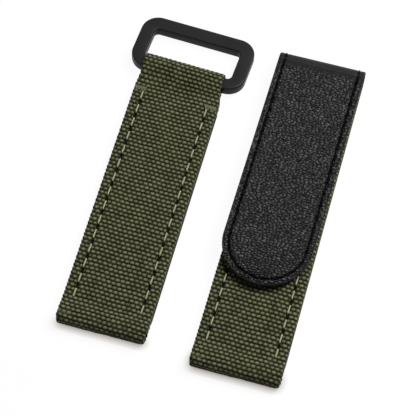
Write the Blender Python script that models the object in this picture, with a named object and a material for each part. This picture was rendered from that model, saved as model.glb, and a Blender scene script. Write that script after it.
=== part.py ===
"""Hook and loop watch strap in two halves, lying side by side as it is sold.

The ring strap is short and carries a metal ring in a canvas loop. The long strap ends in a leather
flap with hook tape on its inner face: the flap goes through the ring, turns back and grips the loop
tape on the strap's front. Here the flap is folded over and closed, as it is stored.

Units are metres, +Z is up, +Y runs from the watch towards the buckle, and the origin is under the
middle of the object's box, on the surface that both straps lie on.
"""
import math

import bmesh
import bpy
from mathutils import Matrix, Vector

MM = 0.001

# Both straps: the watch's lug width sets the width, and the layers set the thickness
STRAP_WIDTH = 22.0 * MM
STRAP_SPACING = 33.5 * MM
LONG_STRAP_OFFSET = 2.1 * MM
LINING_THICKNESS = 0.9 * MM
TURN_IN_THICKNESS = 0.6 * MM
CORE_THICKNESS = 1.0 * MM
CANVAS_THICKNESS = 0.7 * MM
LAYER_GAP = 0.1 * MM
EDGE_RADIUS = 0.8 * MM
TURN_IN_WIDTH = 6.4 * MM
CORNER_STEPS = 3

# Lug end: a thick nose round the spring bar's tunnel, squarer than a round one. The squareness is the
# power that its half circle's sine and cosine are raised to, and 1 keeps it round.
LUG_THICKNESS = 4.1 * MM
LUG_SQUARENESS = 0.62
LUG_LENGTH = 3.0 * MM
LUG_TAPER = 3.4 * MM
LUG_CORNER = 0.9 * MM
TUNNEL_RADIUS = 1.0 * MM
TUNNEL_FROM_END = 2.1 * MM
LINING_START = 6.1 * MM
CORE_SETBACK = 0.8 * MM
LEATHER_WIDTH = 22.2 * MM
NOSE_STEPS = 6
NOSE_LAST_SHARE = 0.97

# Seams: an undulating thread in a groove, on the front and on the back
SEAM_INSET = 2.6 * MM
SEAM_START = 6.5 * MM
STITCH_PITCH = 3.9 * MM
STITCH_DASH_SHARE = 0.6
STITCH_TURN_SHARE = 0.07
THREAD_RADIUS = 0.18 * MM
THREAD_PROUD = 0.2 * MM
THREAD_CLEARANCE = 0.06 * MM

# Ring strap: canvas length from lug end to the loop's top, and how the loop narrows and thickens.
# The loop's end is sewn down a little askew, and the ring lies askew with it.
RING_STRAP_LENGTH = 75.6 * MM
LOOP_WIDTH = 20.8 * MM
LOOP_STRAIGHT = 4.5 * MM
LOOP_FLARE = 5.0 * MM
LOOP_RAMP = 8.4 * MM
LOOP_CLEARANCE = 0.1 * MM
LOOP_SKEW = math.radians(-2.7)
RING_LINING_FROM_END = 10.6 * MM
BORE_STEPS = 32

# Tacks: short bars of thread at the canvas edges where the loop is sewn down
TACK_WIDTH = 3.0 * MM
TACK_LENGTH = 1.2 * MM
TACK_HEIGHT = 0.3 * MM
TACK_FROM_END = 10.4 * MM
TACK_INSET = 0.3 * MM
TACK_BEVEL = 0.12 * MM
TACK_STEPS = 2

# Ring: a flat rectangular frame with rounded corners and eased edges, pushed to one side in its loop
RING_SLOT_WIDTH = 23.1 * MM
RING_SLOT_HEIGHT = 9.0 * MM
RING_BAR = 3.8 * MM
RING_LOOP_BAR = 3.2 * MM
RING_SIDE = 3.55 * MM
RING_SHIFT = 0.4 * MM
RING_THICKNESS = 2.8 * MM
RING_OUTER_CORNER = 4.5 * MM
RING_INNER_CORNER = 1.15 * MM
RING_EDGE = 0.45 * MM
RING_FLOOR_GAP = 0.03 * MM
RING_CORNER_STEPS = 8
RING_EDGE_STEPS = 2

# Long strap, flap and fold
LONG_STRAP_LENGTH = 87.3 * MM
FLAP_LENGTH = 64.7 * MM
FLAP_LEAN = 0.011
FLAP_LEATHER_THICKNESS = 0.9 * MM
HOOK_TAPE_THICKNESS = 0.8 * MM
HOOK_TAPE_INSET = 0.15 * MM
HOOK_TAPE_FROM_FOLD = 1.2 * MM
LOOP_TAPE_THICKNESS = 0.6 * MM
LOOP_TAPE_WIDTH = 14.4 * MM
LOOP_TAPE_LENGTH = 52.0 * MM
LOOP_TAPE_FROM_FOLD = 3.4 * MM
LOOP_TAPE_CORNER = 2.0 * MM
LOOP_TAPE_SEAM_INSET = 1.2 * MM
FLAP_SEAM_INSET = 1.6 * MM
FLAP_SEAM_FROM_FOLD = 0.8 * MM
CANVAS_END_SETBACK = 2.2 * MM
FOLD_GAP = 0.1 * MM
WELD_DISTANCE = 0.0001 * MM
FOLD_BENDS = 3
BEND_STEPS = 3
TIP_STEPS = 24
CUT_OVERRUN = 1.0 * MM

# Heights that follow from the layers
TURN_IN_BASE = LINING_THICKNESS + LAYER_GAP
CORE_BASE = TURN_IN_BASE + TURN_IN_THICKNESS + LAYER_GAP
CANVAS_BASE = CORE_BASE + CORE_THICKNESS + LAYER_GAP
CANVAS_TOP = CANVAS_BASE + CANVAS_THICKNESS
LOOP_TAPE_BASE = CANVAS_TOP + LAYER_GAP
HOOK_TAPE_BASE = LOOP_TAPE_BASE + LOOP_TAPE_THICKNESS + LAYER_GAP
FLAP_BASE = HOOK_TAPE_BASE + HOOK_TAPE_THICKNESS + LAYER_GAP
FLAP_TOP = FLAP_BASE + FLAP_LEATHER_THICKNESS
HALF_WIDTH = STRAP_WIDTH / 2
CORE_HALF_WIDTH = HALF_WIDTH - CANVAS_THICKNESS - LAYER_GAP
KEEL_HALF_WIDTH = HALF_WIDTH - TURN_IN_WIDTH - LAYER_GAP
GROOVE_DEPTH = 2 * THREAD_RADIUS + THREAD_CLEARANCE
GROOVE_HALF_WIDTH = THREAD_RADIUS + THREAD_CLEARANCE

# The ring's bar turns in the loop's bore, which is as wide as the bar's corners need
BAR_REACH = RING_EDGE + math.hypot(RING_LOOP_BAR / 2 - RING_EDGE, RING_THICKNESS / 2 - RING_EDGE)
BORE_RADIUS = BAR_REACH + LOOP_CLEARANCE
LOOP_RADIUS = BORE_RADIUS + CANVAS_THICKNESS
RING_REACH = RING_LOOP_BAR / 2 + RING_SLOT_HEIGHT + RING_BAR
RING_WIDTH = RING_SLOT_WIDTH + 2 * RING_SIDE

# The ring hangs from its bar until the far bar's lower edge meets the surface below
DROOP_ARM = math.hypot(RING_REACH - RING_EDGE, RING_THICKNESS / 2)
DROOP_DROP = LOOP_RADIUS - RING_FLOOR_GAP
RING_DROOP = math.asin(DROOP_DROP / DROOP_ARM) - math.atan2(RING_THICKNESS / 2, RING_REACH - RING_EDGE)

# The fold: leather on a half circle as high as the whole stack, opened at bends on its outer face
FOLD_RADIUS = FLAP_TOP / 2
BEND_ANGLE = math.pi / FOLD_BENDS
BEND_ARC = FOLD_RADIUS * BEND_ANGLE

# How far the askew ring reaches to its left and ahead of its bar
RING_STRAIGHT = RING_WIDTH / 2 - RING_OUTER_CORNER
RING_LEFT_REACH = (RING_OUTER_CORNER + RING_STRAIGHT * math.cos(LOOP_SKEW)
                   + (RING_OUTER_CORNER - RING_LOOP_BAR / 2) * math.sin(LOOP_SKEW))
RING_FLAT_REACH = RING_REACH * math.cos(RING_DROOP) + RING_THICKNESS / 2 * math.sin(RING_DROOP)
RING_AHEAD = (RING_OUTER_CORNER + (RING_FLAT_REACH - RING_OUTER_CORNER) * math.cos(LOOP_SKEW)
              - (RING_STRAIGHT - RING_SHIFT) * math.sin(LOOP_SKEW))

# Places: the box of the whole object is centred on the origin, and stands on it
RING_STRAP_X = -(STRAP_SPACING + LEATHER_WIDTH / 2 + RING_SHIFT - RING_LEFT_REACH) / 2
LONG_STRAP_X = RING_STRAP_X + STRAP_SPACING
BAR_FROM_LUG = RING_STRAP_LENGTH - LOOP_RADIUS
RING_FAR_END = BAR_FROM_LUG + RING_AHEAD
LONG_FAR_END = LONG_STRAP_LENGTH - LONG_STRAP_OFFSET
RING_STRAP_Y = -(max(RING_FAR_END, LONG_FAR_END) - LONG_STRAP_OFFSET) / 2
LONG_STRAP_Y = RING_STRAP_Y - LONG_STRAP_OFFSET
FOLD_Y = LONG_STRAP_Y + LONG_STRAP_LENGTH - FOLD_RADIUS
FLAP_TIP_Y = LONG_STRAP_Y + LONG_STRAP_LENGTH - FLAP_LENGTH
CANVAS_END_Y = FOLD_Y - CANVAS_END_SETBACK

# Colours, read as linear values
OLIVE = (0.105, 0.115, 0.058)
KHAKI = (0.32, 0.31, 0.17)
BLACK_LEATHER = (0.022, 0.022, 0.023)
BLACK_THREAD = (0.008, 0.008, 0.009)
BLACK_METAL = (0.030, 0.030, 0.032)
BLACK_TAPE = (0.012, 0.012, 0.013)
CORE_BLACK = (0.02, 0.02, 0.02)


def make_material(name, colour, roughness, metallic=0.0):
    """A Principled material of one colour."""
    material = bpy.data.materials.new(name)
    material.use_nodes = True
    shader = material.node_tree.nodes["Principled BSDF"]
    shader.inputs["Base Color"].default_value = (*colour, 1.0)
    shader.inputs["Roughness"].default_value = roughness
    shader.inputs["Metallic"].default_value = metallic
    material.diffuse_color = (*colour, 1.0)
    return material


def finish_mesh(name, bm, material=None, flat_angle=math.radians(35)):
    """Turn a bmesh into a named object with outward faces, smooth over its round stretches."""
    bmesh.ops.recalc_face_normals(bm, faces=bm.faces)
    if bm.calc_volume(signed=True) < 0:
        bmesh.ops.reverse_faces(bm, faces=bm.faces)
    mesh = bpy.data.meshes.new(name)
    bm.to_mesh(mesh)
    bm.free()
    mesh.shade_smooth()
    mesh.set_sharp_from_angle(angle=flat_angle)
    piece = bpy.data.objects.new(name, mesh)
    bpy.context.collection.objects.link(piece)
    if material:
        mesh.materials.append(material)
    return piece


def cut(piece, cutter):
    """Cut one closed piece out of another with a Boolean modifier."""
    cutter.hide_render = True
    cutter.display_type = "WIRE"
    boolean = piece.modifiers.new(cutter.name, "BOOLEAN")
    boolean.operation = "DIFFERENCE"
    boolean.solver = "EXACT"
    boolean.object = cutter


def add_loop(bm, points):
    """A closed loop of edges through points."""
    verts = [bm.verts.new(point) for point in points]
    return [bm.edges.new((verts[i - 1], verts[i])) for i in range(len(verts))]


def add_prism(bm, outline, sweep):
    """Extrude a flat closed outline along sweep, with both ends filled."""
    face = bm.faces.new([bm.verts.new(point) for point in outline])
    swept = bmesh.ops.extrude_face_region(bm, geom=[face])
    moved = [item for item in swept["geom"] if isinstance(item, bmesh.types.BMVert)]
    bmesh.ops.translate(bm, verts=moved, vec=sweep)


def add_box(bm, low, high):
    """A box between two corners."""
    outline = [(low[0], low[1], low[2]), (high[0], low[1], low[2]),
               (high[0], high[1], low[2]), (low[0], high[1], low[2])]
    add_prism(bm, outline, Vector((0, 0, high[2] - low[2])))


def loft(name, sections, material):
    """Bridge a row of closed loops with the same number of points, and fill both ends."""
    bm = bmesh.new()
    loops = [add_loop(bm, section) for section in sections]
    for first, second in zip(loops, loops[1:]):
        bmesh.ops.bridge_loops(bm, edges=first + second)
    for end in (loops[0], loops[-1]):
        bmesh.ops.contextual_create(bm, geom=end)
    return finish_mesh(name, bm, material)


def corner_arc(centre, radius, start, steps):
    """Points of a quarter circle in a plane, as pairs."""
    angles = [start + math.pi / 2 * i / steps for i in range(steps + 1)]
    return [(centre[0] + radius * math.cos(a), centre[1] + radius * math.sin(a)) for a in angles]


def rounded_rectangle(low, high, radius, steps):
    """Pairs round a rectangle with round corners, anticlockwise from its right side."""
    inner_low = (low[0] + radius, low[1] + radius)
    inner_high = (high[0] - radius, high[1] - radius)
    centres = [(inner_high[0], inner_high[1]), (inner_low[0], inner_high[1]),
               (inner_low[0], inner_low[1]), (inner_high[0], inner_low[1])]
    points = []
    for quarter, centre in enumerate(centres):
        points += corner_arc(centre, radius, quarter * math.pi / 2, steps)
    return points


def strap_section(centre_x, y, half_width, low, high, slope=0):
    """The strap's outline across, at one place along it, with the canvas turned round its edges."""
    height_limit_share = 0.45
    radius = min(EDGE_RADIUS, (high - low) * height_limit_share)
    pairs = rounded_rectangle((-half_width, low), (half_width, high), radius, CORNER_STEPS)
    return [(centre_x + across, y + across * slope, up) for across, up in pairs]


def lug_sections(centre_x, lug_y):
    """Sections of the thick nose that holds the spring bar, and of its taper to the strap."""
    radius = LUG_THICKNESS / 2
    sections = []
    for step in range(NOSE_STEPS + 1):
        angle = math.pi / 2 * (NOSE_LAST_SHARE - step / NOSE_STEPS * NOSE_LAST_SHARE)
        back = radius * (1 - math.sin(angle) ** LUG_SQUARENESS)
        half_height = radius * math.cos(angle) ** LUG_SQUARENESS
        narrowing = LUG_CORNER * (1 - math.cos(angle))
        sections.append(strap_section(centre_x, lug_y + back, HALF_WIDTH - narrowing,
                                      radius - half_height, radius + half_height))
    sections.append(strap_section(centre_x, lug_y + LUG_LENGTH, HALF_WIDTH, 0, LUG_THICKNESS))
    sections.append(strap_section(centre_x, lug_y + LUG_LENGTH + LUG_TAPER, HALF_WIDTH, 0, CANVAS_TOP))
    return sections


def loop_sections(centre_x, bar_y):
    """Sections of the narrow, thick end that turns round the ring's bar."""
    loop_half_width = LOOP_WIDTH / 2
    end_y = bar_y + LOOP_RADIUS
    ramp_rise = 2 * LOOP_RADIUS - CANVAS_TOP
    ramp_run = LOOP_RAMP - LOOP_RADIUS
    flare_start = end_y - LOOP_STRAIGHT - LOOP_FLARE
    flare_end = end_y - LOOP_STRAIGHT
    flare_top = CANVAS_TOP + ramp_rise * max(0, (LOOP_RAMP - LOOP_STRAIGHT) / ramp_run)
    sections = [strap_section(centre_x, flare_start, HALF_WIDTH, 0, CANVAS_TOP)]
    ramp_share = (flare_end - (end_y - LOOP_RAMP)) / LOOP_FLARE
    ramp_half_width = loop_half_width + (HALF_WIDTH - loop_half_width) * ramp_share
    sections.append(strap_section(centre_x, end_y - LOOP_RAMP, ramp_half_width, 0, CANVAS_TOP))
    slope = math.tan(LOOP_SKEW)
    sections.append(strap_section(centre_x, flare_end, loop_half_width, 0, flare_top, slope))
    for step in range(NOSE_STEPS + 1):
        angle = math.pi / 2 * NOSE_LAST_SHARE * step / NOSE_STEPS
        half_height = LOOP_RADIUS * math.cos(angle)
        sections.append(strap_section(centre_x, bar_y + LOOP_RADIUS * math.sin(angle), loop_half_width,
                                      LOOP_RADIUS - half_height, LOOP_RADIUS + half_height, slope))
    return sections


def core_outline(centre_x, y, side_gap, roof, keel_floor):
    """The T-shaped outline of the stiff core: wide above the turned-in edges, narrow between them."""
    wide = CORE_HALF_WIDTH + side_gap
    narrow = KEEL_HALF_WIDTH + side_gap
    shoulder = CORE_BASE - side_gap
    pairs = [(-wide, shoulder), (-narrow, shoulder), (-narrow, keel_floor), (narrow, keel_floor),
             (narrow, shoulder), (wide, shoulder), (wide, roof), (-wide, roof)]
    return [(centre_x + across, y, up) for across, up in pairs]


def cut_core_space(canvas, centre_x, start_y, end_y):
    """Hollow the canvas for its core, and open it below between the turned-in edges."""
    bm = bmesh.new()
    outline = core_outline(centre_x, start_y - LAYER_GAP, LAYER_GAP, CANVAS_BASE,
                           TURN_IN_BASE - CUT_OVERRUN)
    add_prism(bm, outline, Vector((0, end_y - start_y + 2 * LAYER_GAP, 0)))
    cut(canvas, finish_mesh("cutter_core_of_" + canvas.name, bm))


def cut_lining_space(canvas, centre_x, start_y, end_y):
    """Thin the canvas from below where the lining covers it."""
    bm = bmesh.new()
    side = HALF_WIDTH + CUT_OVERRUN
    add_box(bm, (centre_x - side, start_y - LAYER_GAP, -CUT_OVERRUN),
            (centre_x + side, end_y + LAYER_GAP, TURN_IN_BASE))
    cut(canvas, finish_mesh("cutter_lining_of_" + canvas.name, bm))


def cut_bore(piece, centre_x, y, z, radius, label, slope=0):
    """A round hole across the strap, which may run askew."""
    bm = bmesh.new()
    half = HALF_WIDTH + CUT_OVERRUN
    angles = [2 * math.pi * i / BORE_STEPS for i in range(BORE_STEPS)]
    start_y = y - half * slope
    outline = [(centre_x - half, start_y + radius * math.cos(a), z + radius * math.sin(a)) for a in angles]
    add_prism(bm, outline, Vector((2 * half, 2 * half * slope, 0)))
    cut(piece, finish_mesh("cutter_" + label + "_of_" + piece.name, bm))


def cut_straight_grooves(piece, centre_x, start_y, ends_y, low, high):
    """Two grooves along a strap for the threads of its seams, the left one's end first."""
    bm = bmesh.new()
    for side, end_y in zip((-1, 1), ends_y):
        seam_x = centre_x + side * (HALF_WIDTH - SEAM_INSET)
        add_box(bm, (seam_x - GROOVE_HALF_WIDTH, start_y - THREAD_CLEARANCE, low),
                (seam_x + GROOVE_HALF_WIDTH, end_y + THREAD_CLEARANCE, high))
    cut(piece, finish_mesh("cutter_seams_of_" + piece.name, bm))


def add_thread(name, place_at, length, crest, trough, material):
    """One thread along a seam: level at crest for each stitch, and down at trough between them."""
    unused_share = 1 - STITCH_DASH_SHARE + STITCH_TURN_SHARE
    count = max(1, round(length / STITCH_PITCH + unused_share))
    pitch = length / (count - unused_share)
    turns = [(STITCH_TURN_SHARE, crest), (STITCH_DASH_SHARE - STITCH_TURN_SHARE, crest),
             (STITCH_DASH_SHARE + STITCH_TURN_SHARE, trough), (1 - STITCH_TURN_SHARE, trough)]
    points = []
    for stitch in range(count):
        for share, height in turns:
            x, y = place_at((stitch + share) * pitch)
            points.append((x, y, height))
    points = points[:-2]
    curve = bpy.data.curves.new(name, "CURVE")
    curve.dimensions = "3D"
    curve.twist_mode = "Z_UP"
    curve.fill_mode = "FULL"
    curve.bevel_depth = THREAD_RADIUS
    curve.bevel_resolution = 0
    curve.use_fill_caps = True
    spline = curve.splines.new("POLY")
    spline.points.add(len(points) - 1)
    for spline_point, point in zip(spline.points, points):
        spline_point.co = (*point, 1)
    curve.materials.append(material)
    thread = bpy.data.objects.new(name, curve)
    bpy.context.collection.objects.link(thread)
    return thread


def sew_strap(label, centre_x, start_y, ends_y, top_thread, back_thread):
    """The two seams of a strap, each a thread on the front and a thread on the back."""
    crest = CANVAS_TOP + THREAD_PROUD - THREAD_RADIUS
    trough = CANVAS_TOP - GROOVE_DEPTH + THREAD_CLEARANCE / 2 + THREAD_RADIUS
    back_crest = THREAD_RADIUS
    back_trough = GROOVE_DEPTH - THREAD_CLEARANCE / 2 - THREAD_RADIUS + THREAD_PROUD
    for side, hand, end_y in zip((-1, 1), ("left", "right"), ends_y):
        seam_x = centre_x + side * (HALF_WIDTH - SEAM_INSET)

        def place_at(distance):
            return seam_x, start_y + distance

        add_thread(label + "_front_thread_" + hand, place_at, end_y - start_y, crest, trough, top_thread)
        add_thread(label + "_back_thread_" + hand, place_at, end_y - start_y,
                   back_crest, back_trough, back_thread)


def make_lining(name, centre_x, start_y, end_y, material):
    """The leather lining on a strap's back, a flat strip cut to the leather's own width."""
    bm = bmesh.new()
    half = LEATHER_WIDTH / 2
    add_box(bm, (centre_x - half, start_y, 0), (centre_x + half, end_y, LINING_THICKNESS))
    return finish_mesh(name, bm, material)


def make_core(name, centre_x, start_y, end_y, material):
    """The stiff core between canvas and lining."""
    bm = bmesh.new()
    outline = core_outline(centre_x, start_y, 0, CANVAS_BASE - LAYER_GAP, TURN_IN_BASE)
    add_prism(bm, outline, Vector((0, end_y - start_y, 0)))
    return finish_mesh(name, bm, material)


def make_ring_strap(canvas_material, core_material, lining_material, top_thread, back_thread, tack_material):
    """The short strap: canvas round the spring bar's tunnel and the ring's bar, core, lining, seams."""
    bar_y = RING_STRAP_Y + BAR_FROM_LUG
    end_y = RING_STRAP_Y + RING_STRAP_LENGTH
    sections = lug_sections(RING_STRAP_X, RING_STRAP_Y) + loop_sections(RING_STRAP_X, bar_y)
    canvas = loft("ring_strap_canvas", sections, canvas_material)
    lining_start = RING_STRAP_Y + LINING_START
    lining_end = end_y - RING_LINING_FROM_END
    core_start = lining_start + CORE_SETBACK
    core_end = lining_end - CORE_SETBACK
    seam_start = RING_STRAP_Y + SEAM_START
    tack_x = HALF_WIDTH - TACK_INSET - TACK_WIDTH / 2
    tacks_y = [end_y - TACK_FROM_END + side * tack_x * math.tan(LOOP_SKEW) for side in (-1, 1)]
    seam_ends = [min(lining_end, tack_y - TACK_LENGTH / 2) - THREAD_RADIUS for tack_y in tacks_y]
    cut_lining_space(canvas, RING_STRAP_X, lining_start, lining_end)
    cut_core_space(canvas, RING_STRAP_X, core_start, core_end)
    tunnel_y = RING_STRAP_Y + TUNNEL_FROM_END
    cut_bore(canvas, RING_STRAP_X, tunnel_y, LUG_THICKNESS / 2, TUNNEL_RADIUS, "tunnel")
    cut_bore(canvas, RING_STRAP_X, bar_y, LOOP_RADIUS, BORE_RADIUS, "loop", math.tan(LOOP_SKEW))
    cut_straight_grooves(canvas, RING_STRAP_X, seam_start, seam_ends,
                         CANVAS_TOP - GROOVE_DEPTH, LUG_THICKNESS + CUT_OVERRUN)
    lining = make_lining("ring_strap_lining", RING_STRAP_X, lining_start, lining_end, lining_material)
    cut_straight_grooves(lining, RING_STRAP_X, seam_start, seam_ends,
                         -CUT_OVERRUN, GROOVE_DEPTH + THREAD_PROUD)
    make_core("ring_strap_core", RING_STRAP_X, core_start, core_end, core_material)
    sew_strap("ring_strap", RING_STRAP_X, seam_start, seam_ends, top_thread, back_thread)
    tack_base = CANVAS_TOP + LAYER_GAP / 2
    for side, hand, tack_y in zip((-1, 1), ("left", "right"), tacks_y):
        middle_x = RING_STRAP_X + side * tack_x
        bm = bmesh.new()
        add_box(bm, (middle_x - TACK_WIDTH / 2, tack_y - TACK_LENGTH / 2, tack_base),
                (middle_x + TACK_WIDTH / 2, tack_y + TACK_LENGTH / 2, tack_base + TACK_HEIGHT))
        bmesh.ops.bevel(bm, geom=bm.edges[:], offset=TACK_BEVEL, segments=TACK_STEPS,
                        profile=0.5, affect="EDGES", material=-1)
        finish_mesh("ring_strap_tack_" + hand, bm, tack_material)


def make_ring(material):
    """The ring: a flat frame whose near bar lies in the canvas loop and carries the ring's hinge."""
    half_slot = RING_SLOT_WIDTH / 2
    half_ring = RING_WIDTH / 2
    near = -RING_LOOP_BAR / 2
    slot_near = RING_LOOP_BAR / 2
    outer = rounded_rectangle((-half_ring, near), (half_ring, RING_REACH), RING_OUTER_CORNER,
                              RING_CORNER_STEPS)
    inner = rounded_rectangle((-half_slot, slot_near), (half_slot, slot_near + RING_SLOT_HEIGHT),
                              RING_INNER_CORNER, RING_CORNER_STEPS)
    base = -RING_THICKNESS / 2
    bm = bmesh.new()
    outer_edges = add_loop(bm, [(x, y, base) for x, y in outer])
    inner_edges = add_loop(bm, [(x, y, base) for x, y in inner])
    bmesh.ops.bridge_loops(bm, edges=outer_edges + inner_edges)
    swept = bmesh.ops.extrude_face_region(bm, geom=bm.faces[:])
    moved = [item for item in swept["geom"] if isinstance(item, bmesh.types.BMVert)]
    bmesh.ops.translate(bm, verts=moved, vec=Vector((0, 0, RING_THICKNESS)))
    bmesh.ops.recalc_face_normals(bm, faces=bm.faces)
    rims = [edge for edge in bm.edges
            if abs(edge.link_faces[0].normal.z) + abs(edge.link_faces[1].normal.z) == 1]
    bmesh.ops.bevel(bm, geom=rims, offset=RING_EDGE, segments=RING_EDGE_STEPS,
                    profile=0.5, affect="EDGES", material=-1)
    ring = finish_mesh("ring", bm, material)
    bar_y = RING_STRAP_Y + BAR_FROM_LUG
    ring.location = (RING_STRAP_X + RING_SHIFT, bar_y + RING_SHIFT * math.tan(LOOP_SKEW), LOOP_RADIUS)
    ring.rotation_euler = (-RING_DROOP, 0, LOOP_SKEW)
    return ring


def wrap_round_fold(bm, upper):
    """Lay a flat strip round the fold: what runs past FOLD_Y turns up from the back, or down."""
    for vert in bm.verts:
        run = vert.co.y - FOLD_Y
        if run > 0:
            depth = FLAP_TOP - vert.co.z if upper else vert.co.z
            angle = run / FOLD_RADIUS
            height = (FOLD_RADIUS - depth) * math.cos(angle)
            vert.co.y = FOLD_Y + (FOLD_RADIUS - depth) * math.sin(angle)
            vert.co.z = FOLD_RADIUS + height if upper else FOLD_RADIUS - height


def cut_across(bm, start_y, end_y, steps):
    """Edges across a strip at even steps, so that it can bend between them."""
    for step in range(steps + 1):
        y = start_y + (end_y - start_y) * step / steps
        bmesh.ops.bisect_plane(bm, geom=bm.verts[:] + bm.edges[:] + bm.faces[:], dist=WELD_DISTANCE,
                               plane_co=(0, y, 0), plane_no=(0, 1, 0))


def set_origin(piece, point):
    """Put a piece's origin on the axis that it turns about, without moving the piece."""
    piece.data.transform(Matrix.Translation(-Vector(point)))
    piece.location = point


def bend_axis(index):
    """A point on the fold's outer face where bend number index turns, counted from the back."""
    angle = (index - 0.5) * BEND_ANGLE
    rise = FOLD_RADIUS - FOLD_RADIUS * math.cos(angle)
    return (LONG_STRAP_X, FOLD_Y + FOLD_RADIUS * math.sin(angle), rise)


def make_long_strap(canvas_material, core_material, lining_material, tape_material, top_thread, back_thread,
                    tape_thread):
    """The long strap up to its fold: canvas, core, lining, seams and the loop tape on the front."""
    sections = lug_sections(LONG_STRAP_X, LONG_STRAP_Y)
    sections.append(strap_section(LONG_STRAP_X, CANVAS_END_Y, HALF_WIDTH, 0, CANVAS_TOP))
    canvas = loft("long_strap_canvas", sections, canvas_material)
    lining_start = LONG_STRAP_Y + LINING_START
    seam_start = LONG_STRAP_Y + SEAM_START
    seam_ends = [CANVAS_END_Y - THREAD_CLEARANCE - LAYER_GAP] * 2
    past_end = CANVAS_END_Y + CUT_OVERRUN
    cut_lining_space(canvas, LONG_STRAP_X, lining_start, past_end)
    core_start = lining_start + CORE_SETBACK
    cut_core_space(canvas, LONG_STRAP_X, core_start, past_end)
    tunnel_y = LONG_STRAP_Y + TUNNEL_FROM_END
    cut_bore(canvas, LONG_STRAP_X, tunnel_y, LUG_THICKNESS / 2, TUNNEL_RADIUS, "tunnel")
    cut_straight_grooves(canvas, LONG_STRAP_X, seam_start, seam_ends,
                         CANVAS_TOP - GROOVE_DEPTH, LUG_THICKNESS + CUT_OVERRUN)
    make_core("long_strap_core", LONG_STRAP_X, core_start, FOLD_Y - FOLD_GAP, core_material)
    sew_strap("long_strap", LONG_STRAP_X, seam_start, seam_ends, top_thread, back_thread)

    bm = bmesh.new()
    half = LEATHER_WIDTH / 2
    first_bend = FOLD_Y + BEND_ARC / 2 - FOLD_GAP / 2
    add_box(bm, (LONG_STRAP_X - half, lining_start, 0), (LONG_STRAP_X + half, first_bend, LINING_THICKNESS))
    cut_across(bm, FOLD_Y, first_bend, BEND_STEPS)
    wrap_round_fold(bm, upper=False)
    lining = finish_mesh("long_strap_lining", bm, lining_material)
    cut_straight_grooves(lining, LONG_STRAP_X, seam_start, seam_ends,
                         -CUT_OVERRUN, GROOVE_DEPTH + THREAD_PROUD)

    tape_end = FOLD_Y - LOOP_TAPE_FROM_FOLD
    tape_start = tape_end - LOOP_TAPE_LENGTH
    tape_half = LOOP_TAPE_WIDTH / 2
    bm = bmesh.new()
    outline = rounded_rectangle((LONG_STRAP_X - tape_half, tape_start), (LONG_STRAP_X + tape_half, tape_end),
                                LOOP_TAPE_CORNER, CORNER_STEPS)
    add_prism(bm, [(x, y, LOOP_TAPE_BASE) for x, y in outline], Vector((0, 0, LOOP_TAPE_THICKNESS)))
    tape = finish_mesh("loop_tape", bm, tape_material)
    inset_low = (LONG_STRAP_X - tape_half + LOOP_TAPE_SEAM_INSET, tape_start + LOOP_TAPE_SEAM_INSET)
    inset_high = (LONG_STRAP_X + tape_half - LOOP_TAPE_SEAM_INSET, tape_end - LOOP_TAPE_SEAM_INSET)
    seam_corner = LOOP_TAPE_CORNER - LOOP_TAPE_SEAM_INSET
    track = rounded_rectangle(inset_low, inset_high, seam_corner, CORNER_STEPS)
    groove_base = LOOP_TAPE_BASE + LOOP_TAPE_THICKNESS - GROOVE_DEPTH
    cut_band(tape, rounded_rectangle((inset_low[0] - GROOVE_HALF_WIDTH, inset_low[1] - GROOVE_HALF_WIDTH),
                                     (inset_high[0] + GROOVE_HALF_WIDTH, inset_high[1] + GROOVE_HALF_WIDTH),
                                     seam_corner + GROOVE_HALF_WIDTH, CORNER_STEPS),
             rounded_rectangle((inset_low[0] + GROOVE_HALF_WIDTH, inset_low[1] + GROOVE_HALF_WIDTH),
                               (inset_high[0] - GROOVE_HALF_WIDTH, inset_high[1] - GROOVE_HALF_WIDTH),
                               seam_corner - GROOVE_HALF_WIDTH, CORNER_STEPS),
             groove_base, CUT_OVERRUN + GROOVE_DEPTH)
    level = groove_base + THREAD_CLEARANCE / 2 + THREAD_RADIUS
    add_track_thread("loop_tape_thread", track, level, tape_thread)


def cut_band(piece, outer, inner, base, height):
    """A groove between two outlines with the same number of points."""
    bm = bmesh.new()
    outer_edges = add_loop(bm, [(x, y, base) for x, y in outer])
    inner_edges = add_loop(bm, [(x, y, base) for x, y in inner])
    bmesh.ops.bridge_loops(bm, edges=outer_edges + inner_edges)
    swept = bmesh.ops.extrude_face_region(bm, geom=bm.faces[:])
    moved = [item for item in swept["geom"] if isinstance(item, bmesh.types.BMVert)]
    bmesh.ops.translate(bm, verts=moved, vec=Vector((0, 0, height)))
    cut(piece, finish_mesh("cutter_seam_of_" + piece.name, bm))


def add_track_thread(name, track, level, material):
    """A closed line of stitches along a track of points, lying level in its groove."""
    curve = bpy.data.curves.new(name, "CURVE")
    curve.dimensions = "3D"
    curve.twist_mode = "Z_UP"
    curve.fill_mode = "FULL"
    curve.bevel_depth = THREAD_RADIUS
    curve.bevel_resolution = 0
    spline = curve.splines.new("POLY")
    spline.points.add(len(track) - 1)
    for spline_point, (x, y) in zip(spline.points, track):
        spline_point.co = (x, y, level, 1)
    spline.use_cyclic_u = True
    curve.materials.append(material)
    thread = bpy.data.objects.new(name, curve)
    bpy.context.collection.objects.link(thread)


def flap_middle(y):
    """The x of the flap's middle line at y: the flap is folded over leaning a little to the left."""
    return LONG_STRAP_X - FLAP_LEAN * max(0, FOLD_Y - y)


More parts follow.
